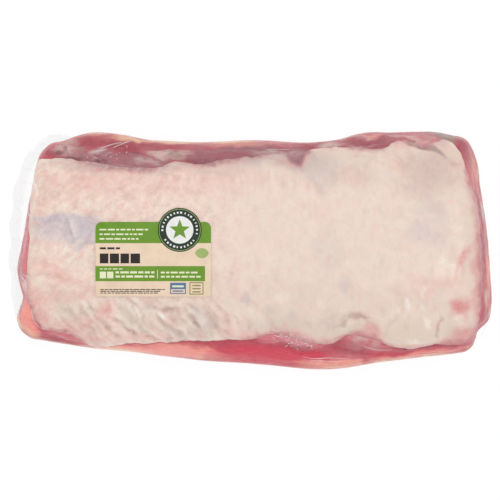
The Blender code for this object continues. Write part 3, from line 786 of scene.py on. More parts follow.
# Patches of the fat's colour: (x, y, half length, half width, turn, strength)
FAT_PATCHES = {
    "blush": [
        (-130, -10, 9, 3.4, -10, 0.8), (-119, -17.6, 10, 3.4, -12, 0.8), (-120, -28.5, 22, 3.4, -2, 0.6),
        (-91, -36.5, 6, 5, 0, 0.8), (-102, -45, 8, 4, -15, 0.8), (-116, -49, 14, 6, -10, 0.8),
        (-133, -36, 5, 12, 14, 0.7), (-77, -54, 12, 3, -6, 0.6), (-50, -42, 12, 3, -45, 0.8),
        (-66, -54, 10, 4, -20, 0.6), (-56, -50, 8, 3, -45, 0.5), (-20, -45, 10, 4, -30, 0.4),
        (-60, 42, 60, 9, 0, 0.4), (-100, 44, 18, 5, 5, 0.5), (-20, 47, 20, 4, 0, 0.3),
        (-106, 38, 10, 4, 30, 0.35), (-124, 44, 8, 4, -20, 0.3), (137, -53, 8, 6, 0, 0.8),
        (75, -52, 8, 4, -10, 0.6), (125, 61, 6, 6, -40, 0.35), (131, 54, 3, 4, -20, 0.4),
        (-138, 22, 2, 14, 0, 0.45), (-86, -52, 6, 3, 0, 0.7), (37, 39, 2.5, 2, 0, 0.4),
        (97, -59.5, 18, 2.4, 3, 0.65), (130, -14, 5, 12, -24, 0.4), (119, -18, 5, 6, -20, 0.35),
        (142, -20, 2.2, 24, 0, 0.8), (92, 54, 8, 4, -40, 0.4), (44, 22, 7, 5, 0, 0.2),
        (-128, 30, 8, 10, 0, 0.2), (64, 46, 10, 6, 0, 0.3), (106, -20, 6, 4, -10, 0.3),
        (70, -42, 6, 3, 0, 0.4), (-93, 51, 20, 2.5, 0, 0.6), (-45, 51.5, 22, 2, 0, 0.6),
        (128, 52, 5, 4, -45, 0.2), (112, -26, 8, 4, 0, 0.25), (-90, -44, 5, 4, 0, 0.7),
        (120, 67, 5, 4, -30, 0.5), (-95, -55, 8, 3, 0, 0.7), (-7, -52, 10, 4, 0, 0.7),
        (94, 66, 5, 3, 0, 0.6), (50, 62, 9, 2.4, 0, 0.4),
    ],
    "raw": [
        (132.6, -35, 6, 5, 30, 0.7), (131, -41.5, 4.5, 2.2, 0, 0.35), (134, -5, 2.2, 7.5, -32, 0.5),
        (138, -53.5, 11, 7, 10, 0.8), (-90.5, -36.5, 3, 2.4, 0, 0.3), (76, -50, 4, 3.5, 0, 0.35),
        (-101, -45, 4, 1.8, 10, 0.3), (118, -47, 0.8, 3, -14, 0.25), (-93, 52, 6, 2, 0, 0.4),
        (-132, -40, 3, 7, 20, 0.4),
    ],
    "lilac": [
        (-119, 14, 19, 8, 0, 0.7), (-113, 13, 4, 8, 20, 0.6), (-102, 13, 9, 8, 0, 0.7),
        # The mark at (112, 63.2) is painted shade along the fold at the far right
        (-101, 4, 9, 2, 14, 0.8), (-121, 20, 15, 2, 0, 0.9), (112, 63.2, 12, 1.6, -24, 0.9),
        (115, 18, 10, 15, 0, 0.22), (104, 11, 8, 6, 0, 0.22), (47, -2, 9, 12, 0, 0.2),
        (60, -22, 4, 5, 0, 0.3), (-3, -28.6, 2.4, 4, 0, 0.35),
    ],
    "veiled": [
        (-135.5, -37, 4, 13, 14, 0.9), (137, -53, 10, 8, 10, 0.8), (-118, -50.5, 14, 3.4, -10, 0.6),
        (-30, 54, 14, 2, 4, 0.3), (141, -16, 2, 26, 0, 0.6), (76, -51, 6, 4, 0, 0.5),
        (72, 61, 12, 1.6, 0, 0.4), (29, 55, 6, 4, 0, 0.6), (-58, -55.4, 11, 2.6, 0, 0.5),
        (-94, -55.5, 7, 3, 0, 0.6),
    ],
    "veil": [
        (14, 58.6, 12, 3, 0, 0.8), (44, 53, 13, 9, -12, 0.8), (45, 45, 8, 6, 0, 0.5),
        (70, 46, 14, 7, 0, 0.3), (31, 52, 5, 5, 0, 0.7), (52, -47, 9, 7, 0, 0.45),
        (-50, -42, 16, 9, -20, 0.35), (-30, -48, 14, 7, -10, 0.4), (-46, 54, 14, 2.6, 0, 0.8),
        (2, 57, 12, 4, 0, 0.9), (118, 62, 9, 3, -25, 0.4), (34, -26, 8, 7, 0, 0.2),
        (-66, -46, 7, 5, -40, 0.4), (-30, -42, 9, 6, -20, 0.9), (37, 57, 4, 4, 0, 0.6),
        (22, -47, 16, 5, 0, 0.4), (27, -40, 3, 3.4, 0, 0.6), (13.6, -38, 5, 3, 0, 0.5),
        (-20, 49, 16, 4, 0, 0.4),
    ],
    "pale": [
        (-76, -39.5, 9, 7, -45, 0.85), (-110, -40, 6, 6, 0, 0.8), (-98, -37, 5, 4, 0, 0.7),
        (-97, -47.5, 4.5, 3, 0, 0.7), (-60, -36, 10, 5, -10, 0.7), (-104, -52, 6, 4, 0, 0.4),
        (-48, -50, 10, 5, -20, 0.6), (-36, -40, 8, 5, -30, 0.5), (-70, -50, 4, 5, -45, 0.4),
        (-118, -40, 6, 4, 0, 0.4), (-116, -29, 7, 4, 0, 0.5), (-40, -46, 6, 4, -30, 0.5),
        (-106, -2, 12, 6, -20, 0.2), (-113, -33, 10, 5, 0, 0.4),
    ],
    "mauve": [
        (114, 51, 15, 9, -14, 0.75), (108, 40, 13, 7, 0, 0.45), (121, 54, 6, 4, -20, 0.3),
        (118, 26, 4.5, 3.6, 0, 0.35), (118, 9, 4.5, 3.6, 0, 0.35), (30, 53, 4, 4, 0, 0.6),
        (-14, 53, 26, 2.4, 0, 0.3), (-92, 50, 14, 2.4, 0, 0.3), (44, 37, 3, 4, 0, 0.45),
        (22, 41.5, 3, 2.5, 0, 0.35), (21.5, 55.5, 6, 4.5, -15, 0.9), (-60, 50, 9, 3.4, 0, 0.9),
        (-108, 52.5, 13, 3.4, -8, 0.9), (-42, 53, 9, 3, 0, 0.7), (38, 57, 4, 4, 0, 0.5),
        (3, 57, 9, 3, 0, 0.4), (120, 67, 5, 4, -30, 0.5),
    ],
    "cream": [
        (63.5, -47, 8, 5, 0, 0.85), (98, -50, 16, 9, 0, 0.6), (126, -50, 5, 5, 0, 0.6),
        (126, 62, 8, 7, -40, 0.4), (-67, -42, 6, 5, -45, 0.5), (-134.5, 46, 2, 9, 0, 0.9),
        (-58, 58, 12, 2, 0, 0.5), (36, -50, 12, 4, 0, 0.5), (84, 65, 9, 2, 5, 0.5),
        (60, -12, 40, 14, 0, 0.25), (50, 15, 60, 14, 0, 0.2),
    ],
    # Painted shade along creases and on the fat's shaded edge at the far right
    "crease_and_edge_shade": [
        (103, 66, 6, 1, -12, 0.5), (111, 64.2, 6, 1.1, -20, 0.5), (119, 60.9, 5, 1.1, -28, 0.4),
        (119.8, -42.6, 0.9, 2, -20, 0.25), (117, -52.2, 0.9, 2.6, -8, 0.25), (-100, 53, 6, 2.4, -6, 0.3),
        (68, -42.4, 8, 1, -8, 0.3), (58, -45, 4, 1, 44, 0.3), (123, 69.8, 7, 1.5, -18, 0.5),
    ],
    # Painted highlights: glints on the film over the fat and on its lumps
    "highlight_and_vivid_red": [
        (-111, 14.5, 1.6, 7, 24, 0.3), (-118, -1, 1.4, 5, -34, 0.5), (-110, -2, 1.2, 5, -40, 0.5),
        (-102, -3, 1.4, 5, -36, 0.4), (-134.6, 40, 1, 14, 4, 0.7), (99, -34, 2.4, 4, 6, 0.6),
        (112, -44.5, 2.2, 4.5, 18, 0.6), (120, -11, 4, 7, -24, 0.4), (126, -13, 1.8, 6, -10, 0.45),
        (131, -15, 1.6, 5, 0, 0.35), (130.6, 12.8, 3, 2.6, 0, 0.35), (133, -46.8, 3.4, 2.4, 0, 0.4),
        (109, -26, 1.2, 3, 10, 0.35), (-88, -2, 3, 5, -30, 0.4), (-68, -38, 2.4, 4.5, 30, 0.5),
        (-71, -36, 1.3, 3.6, 36, 0.5), (109, -34, 1.5, 2.5, 0, 0.5), (130, -42, 3.5, 2, 0, 0.5),
        (104, -56, 6, 1.6, 0, 0.5), (20, -30, 4, 3, 0, 0.3),
    ],
}
FAT_SOFTNESS = {
    "blush": 1.4, "raw": 1.3, "lilac": 1.2, "veiled": 1.5, "veil": 1.7,
    "pale": 1.2, "mauve": 1.8, "cream": 1.5, "crease_and_edge_shade": 1.2, "highlight_and_vivid_red": 1.2,
}

# What is laid over the fat's colour, in this order
FAT_TONES = {
    "pale": (208, 196, 181),
    "blush": (230, 178, 168),
    "lilac": (182, 174, 190),
    "veil": (204, 188, 182),
    "mauve": (202, 172, 168),
    "cream": (224, 206, 188),
    "raw": (216, 110, 118),
    "shade": (184, 150, 140),
    # Painted highlight; the lean's tone of the same name is a vivid red
    "highlight_and_vivid_red": (250, 240, 230),
    "veiled": (222, 166, 161),
    "thin": (190, 100, 110),
    "purple": (154, 104, 114),
    # Painted shade
    "crease_and_edge_shade": (142, 116, 112),
}


def folded_fat():
    """Soft slanting folds where the film gathers the fat, strongest on the near left of the cap."""
    x, y = strayed[:, 0], strayed[:, 1]
    near_left = ease(-132, -112, x) * ease(30, -20, x) * ease(-24, -38, y)
    down_right = np.column_stack([0.78 * x + 0.62 * y, 0.62 * x - 0.78 * y, skin[:, 2]])
    folds = 1.25 * ripple(down_right, (3.4, 11, 14), 5.5) + 0.6 * ripple(down_right, (2.0, 6, 9), 2.5)
    quilting = 0.30 * ripple(skin, (7, 11, 9), 2.2) + 0.16 * ripple(skin, (3.2, 5, 4), 6.6)
    down_left = np.column_stack([0.6 * x - 0.8 * y, 0.8 * x + 0.6 * y, skin[:, 2]])
    slanting = 0.45 * ripple(down_left, (3.2, 12, 12), 7.4) * ease(10, -40, x) * ease(-20, 20, y)
    return (0.8 * folds * near_left + quilting + slanting) * on_top


def fat_faces():
    """Numbers of the skin points that the fat covers, and the faces between them, renumbered."""
    covered = fat_edge > -FAT_TUCK
    kept = [face for face in skin_faces if len(face) == 4 and covered[list(face)].all()]
    used = np.unique(np.array(kept))
    renumber = np.full(len(skin), -1)
    renumber[used] = np.arange(len(used))
    return used, renumber[np.array(kept)]


def closed_layer(name, upper, lower, faces):
    """A closed solid from two matching sheets: the upper, the lower turned over, and a wall round both."""
    count = len(upper)
    sides = {}
    for face in faces.tolist():
        for edge in zip(face, face[1:] + face[:1]):
            if edge[::-1] in sides:
                del sides[edge[::-1]]
            else:
                sides[edge] = True
    solid = faces.tolist() + (faces[:, ::-1] + count).tolist()
    solid += [[b, a, a + count, b + count] for a, b in sides]
    return new_mesh(name, np.concatenate([upper, lower]), solid)


def fat_material():
    """Cream back fat under tight film, mottled pink and veined, more so on its left half, with painted shade
    and highlights laid over it.
    """
    material, tree, shader, place = start_material("raw back fat")
    slanting, upright, crossing = [
        use_group(tree, raw_grain, {"Place": place, "Turn": turn, "Fineness": fineness, "Blotch Size": size})
        for turn, fineness, size in (
            (-0.9, (0.13, 0.26, 0.2), 7),
            (1.5, (0.15, 0.4, 0.2), 10),
            (0.3, (0.12, 0.22, 0.2), 15),
        )
    ]

    def mixed(share, first, second):
        return add_node(tree, "Mix", {0: share, 2: first, 3: second}).outputs[0]

    left_side = between(tree, add_node(tree, "SeparateXYZ", {0: place}).outputs[0], 10, -50)
    left_fibre = mixed(crossing["Blotch"], slanting["Fibre"], crossing["Fibre"])
    right_fibre = mixed(crossing["Blotch"], upright["Fibre"], crossing["Fleck"])
    fibre = mixed(left_side, right_fibre, left_fibre)
    pinker, mottled, veined, streaked = [
        calculate(tree, "MULTIPLY_ADD", left_side, more, least)
        for more, least in ((0.2, 0.12), (0.3, 0.14), (0.28, 0.05), (0.26, 0.12))
    ]
    between_fibres = calculate(tree, "SUBTRACT", 1, fibre)
    between_blotches = calculate(tree, "SUBTRACT", 1, slanting["Blotch"])
    under_tints = [
        (between_fibres, pinker, (226, 184, 178)),
        (slanting["Blotch"], mottled, (229, 186, 176)),
        (between_blotches, mottled, (240, 226, 208)),
        (upright["Blotch"], 0.2, (220, 210, 198)),
        (slanting["Vein"], veined, (222, 172, 162)),
        (crossing["Vein"], veined, (224, 180, 166)),
    ]
    over_tints = [
        (fibre, streaked, (248, 234, 218)),
        (slanting["Fleck"], calculate(tree, "MULTIPLY", pinker, 0.3), (216, 164, 154)),
    ]
    colour = tinted(tree, screen(FAT_COLOUR), under_tints)
    colour = lay_tones(tree, colour, FAT_TONES, {"Fleck": slanting["Fleck"], "Fibre": fibre}, ragged=0.15)
    wrinkles = use_group(tree, gripped_film, {"Place": place})["Height"]
    set_shader(
        tree,
        shader,
        Base_Color=tinted(tree, colour, over_tints),
        Normal=bump(tree, wrinkles, 0.4),
        Roughness=calculate(tree, "MULTIPLY_ADD", slanting["Blotch"], 0.15, 0.36),
        Specular_IOR_Level=0.2,
        Coat_Weight=0.4,
        Coat_Roughness=0.18,
        Subsurface_Weight=0.3,
        Subsurface_Scale=0.004,
        Subsurface_Radius=(1, 0.55, 0.4),
    )
    return material


creases = furrows(FAT_CREASES)
folds = folded_fat()
fat_relief = folds - creases
lip = np.sqrt(1 - (1 - np.clip(fat_edge / FAT_LIP, 0, 1)) ** 2)
rounding = np.where(fat_edge > 0, (FAT_STEP - FAT_STEP_LOST * thinned) * lip, fat_edge)
fat_top = proud + rounding + fat_relief * ease(0, 3, fat_edge) - corner_gap
fat_under = np.minimum(lean_lift - FAT_INTO_LEAN, fat_top - FAT_LEAST)
used, faces = fat_faces()
top_points = skin + outward * fat_top[:, None]
under_points = skin + outward * fat_under[:, None]
fat_mesh = closed_layer("fat_cap", top_points[used], under_points[used], faces)
fat_layers = {name: stains(marks, softness=FAT_SOFTNESS[name]) for name, marks in FAT_PATCHES.items()}
# Painted shade in the creases and in the hollows of the folds, and painted highlights on their crests
squeezed = ease(-15, -35, skin[:, 0]) * ease(-20, -30, skin[:, 1])
fat_layers["shade"] = np.clip(creases * (0.5 + 0.5 * squeezed), 0, 1) + 0.85 * np.clip(-folds - 0.05, 0, 1)
crest_highlights = 0.6 * np.clip(folds - 0.1, 0, 1) + squeezed * np.clip(-creases - 0.05, 0, 1)
fat_layers["highlight_and_vivid_red"] = np.maximum(fat_layers["highlight_and_vivid_red"], crest_highlights)
ragged = fat_edge + 1.4 * ripple(skin, (6, 5, 6), 4.6) + 0.6 * ripple(skin, 2.2, 1.6)
veiled_edge = (0.2 + 0.8 * thinned) * ease(1.5 + 8 * thinned, 0, ragged)
fat_layers["veiled"] = np.maximum(fat_layers["veiled"], veiled_edge)
fat_layers["thin"] = (0.3 + 0.7 * thinned) * ease(0.8 + 4.5 * thinned, -0.5, ragged)
notch = ease(24, 28, skin[:, 0]) * ease(42, 36, skin[:, 0])
far_purple = np.maximum(lean_layers["purple"], notch) * (skin[:, 1] > 20)
fat_layers["purple"] = thinned * ease(5, 0, ragged) * far_purple
for name, values in fat_layers.items():
    new_layer(fat_mesh, name, np.tile(values[used], 2))
fat_mesh.materials.append(fat_material())
new_piece("fat_cap", fat_mesh)

# Clear bag
# A tube of barrier film, sucked tight on the meat by the vacuum so that it follows every fold. It shows as
# gloss, as a painted sheen at a grazing angle, and as milky lines along the folds that it is pinched into and
# where it hangs free of the meat; the milky lines are partly painted glints.

# How far the film stands off the meat, and how much of a crease's depth it follows
FILM_GAP = 0.35
FILM_SAG = 0.35

# Pinched folds: (width, height, corners); a corner is (x, y) on top or (x, y, z) on a side
PINCHES = [
    (0.5, 0.3, [(-95, 63.4), (-90, 65.4), (-84, 67.2), (-80, 67.6)]),
    (0.4, 0.25, [(-87, 64), (-80, 67), (-74, 69.2)]),
    (0.4, 0.2, [(-99, 60.8), (-95, 62.6), (-90, 63)]),
    (0.3, 0.12, [(8, 63.3), (16, 63.3), (26, 63)]),
    (0.4, 0.2, [(-137.6, -37.5), (-136.4, -43.6), (-133, -48.4), (-129, -50.6)]),
    (0.5, 0.3, [(33, -67.4), (40, -68.4), (50, -68), (62, -68.6)]),
    (0.4, 0.2, [(37, -69.4), (46, -70), (58, -70.4)]),
    (0.6, 0.4, [(-144.6, -16), (-141.4, -20), (-140.4, -25)]),
    (0.4, 0.3, [(-143.4, -15.4), (-139.6, -17), (-136.6, -19.6)]),
    (0.3, 0.2, [(-142.4, -19.4), (-141.6, -23), (-139.4, -27)]),
    (0.5, 0.3, [(-139.8, 24.6), (-138.8, 22), (-137.6, 19)]),
    (0.5, 0.3, [(146.4, 26), (147.6, 20), (148.4, 12)]),
    (0.4, 0.2, [(70, -60), (78, -62.6), (90, -63)]),
    (0.5, 0.25, [(-69, -57.6), (-65.3, -56.6), (-63, -54.7), (-60.4, -53.4)]),
    (0.4, 0.2, [(-54, -57.8), (-48.6, -56.6), (-43, -55.4)]),
    (0.4, 0.2, [(-39, -56.6), (-31, -56), (-23, -56.4)]),
]

# Well out beyond the long sides and the cut ends, from where a side fold is set back on the film
BEYOND_SIDES = 85
BEYOND_ENDS = 160

# How milky the film is along its folds at most, partly as painted glint, and how far that reaches
FOLD_HAZE_AND_GLINT = 0.15
FOLD_HAZE_AND_GLINT_REACH = 1.2

# Milky marks on the film, some of them painted glints at the outline: (x, y, half length, half width, turn,
# strength)
HAZE_AND_GLINT_SPOTS = [
    (-96, 62, 6, 1.8, 15, 0.5), (30, -57, 12, 3.6, -20, 0.35), (148, 19, 1.2, 9, 7, 0.7),
    (66, -60, 5, 3, 0, 0.3), (-141, -20, 2, 4, 20, 0.6), (147, -53, 6, 5, 0, 0.8), (60, -67, 12, 2, 0, 0.3),
]


def film_skin():
    """The film's own surface: it bridges creases, never dips into the meat and hides the fat's step."""
    over_fat = FAT_STEP * ease(-FAT_LIP, FAT_LIP, fat_edge) * on_top
    relief = np.where(fat_edge > 0, fat_relief * ease(0, 3, fat_edge), lean_relief)
    return proud + over_fat + np.maximum(relief, FILM_SAG * relief) + FILM_GAP


film_lift = film_skin()
film_points = skin + outward * film_lift[:, None]
film_points[:, 2] = np.maximum(film_points[:, 2], 0)
film_tree = BVHTree.FromPolygons(film_points.tolist(), skin_faces)


def on_film(corner):
    """Point and normal of the film nearest to a corner, straight below it where only its plan is given."""
    if len(corner) == 2:
        hit, normal, *_ = film_tree.ray_cast(Vector((*corner, 2 * HEIGHT)), Vector((0, 0, -1)))
        if hit:
            return hit, normal
        corner = (*corner, WIDEST_FAR)
    hit, normal, *_ = film_tree.find_nearest(Vector(corner))
    return hit, normal


def side_fold(rng, along, highest, lowest, most_slope, set_out):
    """One short fold down a side; set_out puts a place along that side and a height where they belong."""
    start = along + rng.uniform(-4, 4)
    top, low = rng.uniform(*highest), rng.uniform(*lowest)
    slope = rng.uniform(-most_slope, most_slope)
    bow = rng.uniform(-3, 3)
    spots = (start, top), (start + slope / 2 + bow, (top + low) / 2), (start + slope, low)
    corners = [set_out(*spot) for spot in spots]
    return rng.uniform(0.25, 0.4), rng.uniform(0.05, 0.1), corners


def side_pinches(rng):
    """Short folds that the tight film makes down the pack's sides and across its cut ends."""
    lines = []
    for x in np.arange(-126, 138, 16):
        for side in (-BEYOND_SIDES, BEYOND_SIDES):
            lines.append(side_fold(rng, x, (32, 46), (8, 18), 12, lambda along, z: (along, side, z)))
    for end in (-BEYOND_ENDS, BEYOND_ENDS):
        for y in np.arange(-50, 60, 15):
            lines.append(side_fold(rng, y, (26, 40), (6, 18), 16, lambda along, z: (end, along, z)))
    return lines


def film_material(name, tint, least, haze_and_glint_share, sheen_share):
    """Clear film: nearly nothing head on, milky where it is folded or hazed, with painted glints on its
    folds, and showing more at a grazing angle as a painted sheen.

    least is how much of it shows anywhere, and the shares are what full haze and glint and the painted sheen
    add.
    """
    material, tree, shader, place = start_material(name)
    mottle = clouds(tree, place, 0.2, 3)[0]
    haze_and_glint = add_node(tree, "Attribute", attribute_name="haze_and_glint").outputs["Fac"]
    haze_and_glint = calculate(tree, "MULTIPLY", haze_and_glint, calculate(tree, "MULTIPLY_ADD", mottle, 1.2, 0.4))
    grazing_sheen = add_node(tree, "LayerWeight", {"Blend": 0.25}).outputs["Facing"]
    grazing_sheen = calculate(tree, "POWER", grazing_sheen, 3)
    milky = calculate(tree, "MULTIPLY_ADD", haze_and_glint, haze_and_glint_share, least)
    wrinkles = use_group(tree, gripped_film, {"Place": place})["Height"]
    set_shader(
        tree,
        shader,
        Base_Color=blend(tree, mottle, screen(tint), screen((255, 255, 255))),
        Alpha=calculate(tree, "MULTIPLY_ADD", grazing_sheen, sheen_share, milky),
        Normal=bump(tree, wrinkles, 0.5),
        Roughness=calculate(tree, "MULTIPLY_ADD", mottle, 0.15, 0.08),
        IOR=1.5,
    )
    return material


rng = np.random.default_rng(5)
film_mesh = new_mesh("bag_film", film_points, skin_faces)
side_lines = side_pinches(rng)
haze_and_glint = np.zeros(len(skin))
for width, height, corners in PINCHES + side_lines:
    path = np.array([on_film(tuple(corner))[0] for corner in smooth_path(corners, 1.5).tolist()])
    low, high = path.min(0) - 5, path.max(0) + 5
    close = np.flatnonzero(((film_points > low) & (film_points < high)).all(1))
    gap = np.linalg.norm(film_points[close, None] - path[None], axis=2).min(1)
    fading = np.exp(-((gap / FOLD_HAZE_AND_GLINT_REACH) ** 2))
    haze_and_glint[close] = np.maximum(haze_and_glint[close], min(FOLD_HAZE_AND_GLINT, 0.8 * height) * fading)
haze_and_glint = np.maximum(haze_and_glint, stains(HAZE_AND_GLINT_SPOTS, softness=1.5))
new_layer(film_mesh, "haze_and_glint", haze_and_glint)
clear = film_material("gripped film", (255, 255, 255), least=0.015, haze_and_glint_share=0.3, sheen_share=0.01)
film_mesh.materials.append(clear)
new_piece("bag_film", film_mesh)

# Pinched folds and trapped air
# The bag is wider than the meat, and the vacuum pinches what is left over of it into thin standing folds,
# short ones down the sides too. A little air stays as small flat bubbles beside the fat's edges.

# A fold's cross section, as shares of its width and its height
FIN_PROFILE = ((-0.5, -0.3), (-0.3, 0.6), (-0.1, 1), (0.1, 1), (0.3, 0.6), (0.5, -0.3))

# How milky the folds on top, the folds down the sides and the bubbles are; the whiteness of the folds on top
# is partly painted glint
MILKY_GLINTING_FOLD = 1.0
MILKY_SIDE_FOLD = 0.2
MILKY_BUBBLE = 0.55

# Trapped air, in rows of small bubbles: (first x, first y, run in x, run in y, count, spread, largest radius)
BUBBLES = [(13, -52.5, 28, -9, 80, 2, 0.65), (-106, 55.5, 28, 8, 40, 2.4, 0.45)]
BUBBLE_FLATNESS = 0.4
SMALLEST_BUBBLE = 0.25


def add_pinch(bm, width, height, corners):
    """One pinched fold: a thin fin of film that stands on the bag and tapers off at both ends."""
    spots = [on_film(tuple(corner)) for corner in smooth_path(corners, 0.7).tolist()]
    rows = []
    for i, (point, normal) in enumerate(spots):
        run = spots[min(i + 1, len(spots) - 1)][0] - spots[max(i - 1, 0)][0]
        swell = math.sin(math.pi * (i + 0.3) / (len(spots) - 0.4)) ** 0.6
        side = run.cross(normal).normalized() * (width * swell)
        rise = normal * (height * swell * (0.75 + 0.5 * noise.noise(point / 5)))
        rows.append([bm.verts.new(point + side * a + rise * b) for a, b in FIN_PROFILE])
    for row, following in zip(rows, rows[1:]):
        for i in range(len(row)):
            j = (i + 1) % len(row)
            bm.faces.new((row[i], following[i], following[j], row[j]))
    bm.faces.new(rows[0])
    bm.faces.new(rows[-1][::-1])


bm = bmesh.new()
for line in PINCHES:
    add_pinch(bm, *line)
milky = [MILKY_GLINTING_FOLD] * len(bm.verts)
for line in side_lines:
    add_pinch(bm, *line)
milky += [MILKY_SIDE_FOLD] * (len(bm.verts) - len(milky))
bubbles = []
for x, y, run_x, run_y, count, spread, largest in BUBBLES:
    for share in rng.uniform(0, 1, count):
        bubbles.append((x + run_x * share, y + run_y * share, spread, largest))
for x, y, spread, largest in bubbles:
    point, normal = on_film((x + rng.normal(0, spread), y + rng.normal(0, 0.9 * spread)))
    size = rng.uniform(SMALLEST_BUBBLE, largest)
    made = bmesh.ops.create_icosphere(bm, subdivisions=2, radius=1)["verts"]
    turn = normal.to_track_quat("Z", "Y").to_matrix()
    for vert in made:
        vert.co = point + turn @ (vert.co * Vector((size, size, size * BUBBLE_FLATNESS)))
milky += [MILKY_BUBBLE] * (len(bm.verts) - len(milky))
bmesh.ops.recalc_face_normals(bm, faces=bm.faces)
bmesh.ops.scale(bm, vec=(MM, MM, MM), verts=bm.verts)
pinch_mesh = bpy.data.meshes.new("film_pinches")
bm.to_mesh(pinch_mesh)
bm.free()
new_layer(pinch_mesh, "haze_and_glint", np.array(milky))
pinched = film_material("pinched film", (255, 250, 246), least=0.04, haze_and_glint_share=0.4, sheen_share=0.02)
pinch_mesh.materials.append(pinched)
new_piece("film_pinches", pinch_mesh)

# Welded flange
# The bag's closed left end, where its two layers lie together and are welded in a strip along the hem. It
# stands off the meat at half its height, and droops and ripples like a short apron.

# The flange's hem in plan, how far it reaches in from there to its root, and how its hem droops and ripples
FLANGE_EDGE = [
    (-110, 70), (-119, 73), (-129, 71.2), (-139, 62), (-146, 49), (-149.4, 36), (-151.4, 17), (-151.8, -12),
    (-150, -31), (-147.5, -45), (-139, -53),
]
FLANGE_DEPTH = 15
FLANGE_ROOT_HEIGHT = 32
FLANGE_DROOP = 23
FLANGE_RIPPLE = 0.8
FLANGE_RIPPLES = 7
FLANGE_CRUMPLE = 0.8
FLANGE_STATIONS = 260
FLANGE_STEPS = 40
FLANGE_THICKNESS = 0.3
SEAL_WIDTH = 6.5


def flange_points():
    """Points of the flange, row by row from its root at the meat to its hem."""
    hem = smooth_path(FLANGE_EDGE, count=FLANGE_STATIONS)
    run = np.gradient(hem, axis=0)
    inward = np.column_stack([-run[:, 1], run[:, 0]]) / np.hypot(*run.T)[:, None]
    share = np.linspace(0, 1, FLANGE_STATIONS)[:, None]
    swell = np.sin(math.pi * share) ** 0.5
    wave = FLANGE_RIPPLE * swell * np.sin(2 * math.pi * FLANGE_RIPPLES * share)
    root_height = np.full(FLANGE_STATIONS, FLANGE_ROOT_HEIGHT)
    root = np.column_stack([hem + inward * FLANGE_DEPTH, root_height])
    brow = np.column_stack([hem, root_height])
    edge = np.column_stack([hem + inward * wave, FLANGE_ROOT_HEIGHT - FLANGE_DROOP * (0.2 + 0.8 * swell)])
    t = np.linspace(0, 1, FLANGE_STEPS)[None, :, None]
    points = (1 - t) ** 2 * root[:, None] + 2 * t * (1 - t) * brow[:, None] + t * t * edge[:, None]
    return points.reshape(-1, 3)


apron = flange_points()
index = np.arange(len(apron)).reshape(FLANGE_STATIONS, FLANGE_STEPS)
squares = np.stack([index[:-1, :-1], index[:-1, 1:], index[1:, 1:], index[1:, :-1]], axis=-1).reshape(-1, 4)
sheet_mesh = new_mesh("flange", apron, squares.tolist())
leaving = mesh_normals(sheet_mesh)
if leaving[:, 2].sum() < 0:
    squares = squares[:, ::-1]
    leaving = -leaving
bpy.data.meshes.remove(sheet_mesh)
inset = np.tile(FLANGE_DEPTH * (1 - np.linspace(0, 1, FLANGE_STEPS)) ** 2, FLANGE_STATIONS)
crumple = FLANGE_CRUMPLE * ripple(apron, (14, 11, 30), 1.7)
crumple *= ease(FLANGE_DEPTH, 9, inset) * ease(0.5, 4, inset)
apron = apron + leaving * crumple[:, None]
half_film = leaving * FLANGE_THICKNESS / 2
flange_mesh = closed_layer("welded_flange", apron + half_film, apron - half_film, squares)
seal = ease(SEAL_WIDTH + 0.8, SEAL_WIDTH - 0.8, inset)
ridge = np.clip(np.abs(ripple(apron, (10, 8, 30), 8.8)) * -6 + 0.9, 0, 1)
new_layer(flange_mesh, "haze_and_glint", np.tile(np.clip(0.8 * seal + 0.25 * ridge, 0, 1), 2))
welded = film_material("welded film", (186, 190, 192), least=0.03, haze_and_glint_share=0.14, sheen_share=0.04)
flange_mesh.materials.append(welded)
new_piece("welded_flange", flange_mesh)

# Paper label
# A coated paper label stuck on the film over the fat, printed with two green bands, a dark round seal
# that overhangs its far edge, plain bars for the wording and two outlined boxes. It lies on every bump.

LABEL_LEFT, LABEL_RIGHT = -97, -24.5
LABEL_NEAR, LABEL_FAR = -29.3, 17.6
LABEL_CORNER = 3.8
LABEL_THICKNESS = 0.15

# How far the paper lies off the film, and how finely it is divided so that it follows every bump
LABEL_GAP = 0.25
LABEL_GRID = 2.2

# The badge; the near edge of the upper band, which ends at the label's far edge; the lower band's sides
BADGE_X, BADGE_Y = -44.1, 12.6
BADGE_RADIUS = 13.8
UPPER_BAND_NEAR = 4.3
LOWER_BAND_NEAR, LOWER_BAND_FAR = -19.6, -10.1
LOWER_BAND_RIGHT = -28.2
INKS = {
    "paper": (235, 210, 184),
    "mid green": (104, 148, 30),
    "dark green": (6, 40, 16),
    "brown": (26, 12, 6),
    "pale": (232, 234, 196),
    "slate": (84, 118, 156),
    "olive": (136, 136, 60),
    "leaf": (160, 180, 106),
    "white": (236, 236, 234),
}


def box(left, near, right, far):
    return [(left, near), (right, near), (right, far), (left, far)]


def arc(x, y, radius, first, last, count):
    return [(x + radius * math.cos(a), y + radius * math.sin(a)) for a in np.linspace(first, last, count)]


def arc_bar(x, y, inner, outer, first, last):
    """A short bent bar of a ring, between two angles in degrees."""
    first, last = math.radians(first), math.radians(last)
    return arc(x, y, outer, first, last, 4) + arc(x, y, inner, last, first, 4)


def disc(x, y, radius, count=40):
    return arc(x, y, radius, 0, 2 * math.pi, count + 1)[:-1]


def star(x, y, long, short, points=5):
    spokes = [(long if i % 2 == 0 else short, math.pi / 2 + i * math.pi / points) for i in range(2 * points)]
    return [(x + r * math.cos(a), y + r * math.sin(a)) for r, a in spokes]


def words(rng, left, right, near, tall, shortest=2.0, longest=6.0, gap=0.8):
    """A row of bars with gaps between them, as wide as words, from left to right."""
    bars = []
    while left < right - shortest:
        wide = min(rng.uniform(shortest, longest), right - left)
        bars.append(box(left, near, left + wide, near + tall))
        left += wide + gap
    return bars


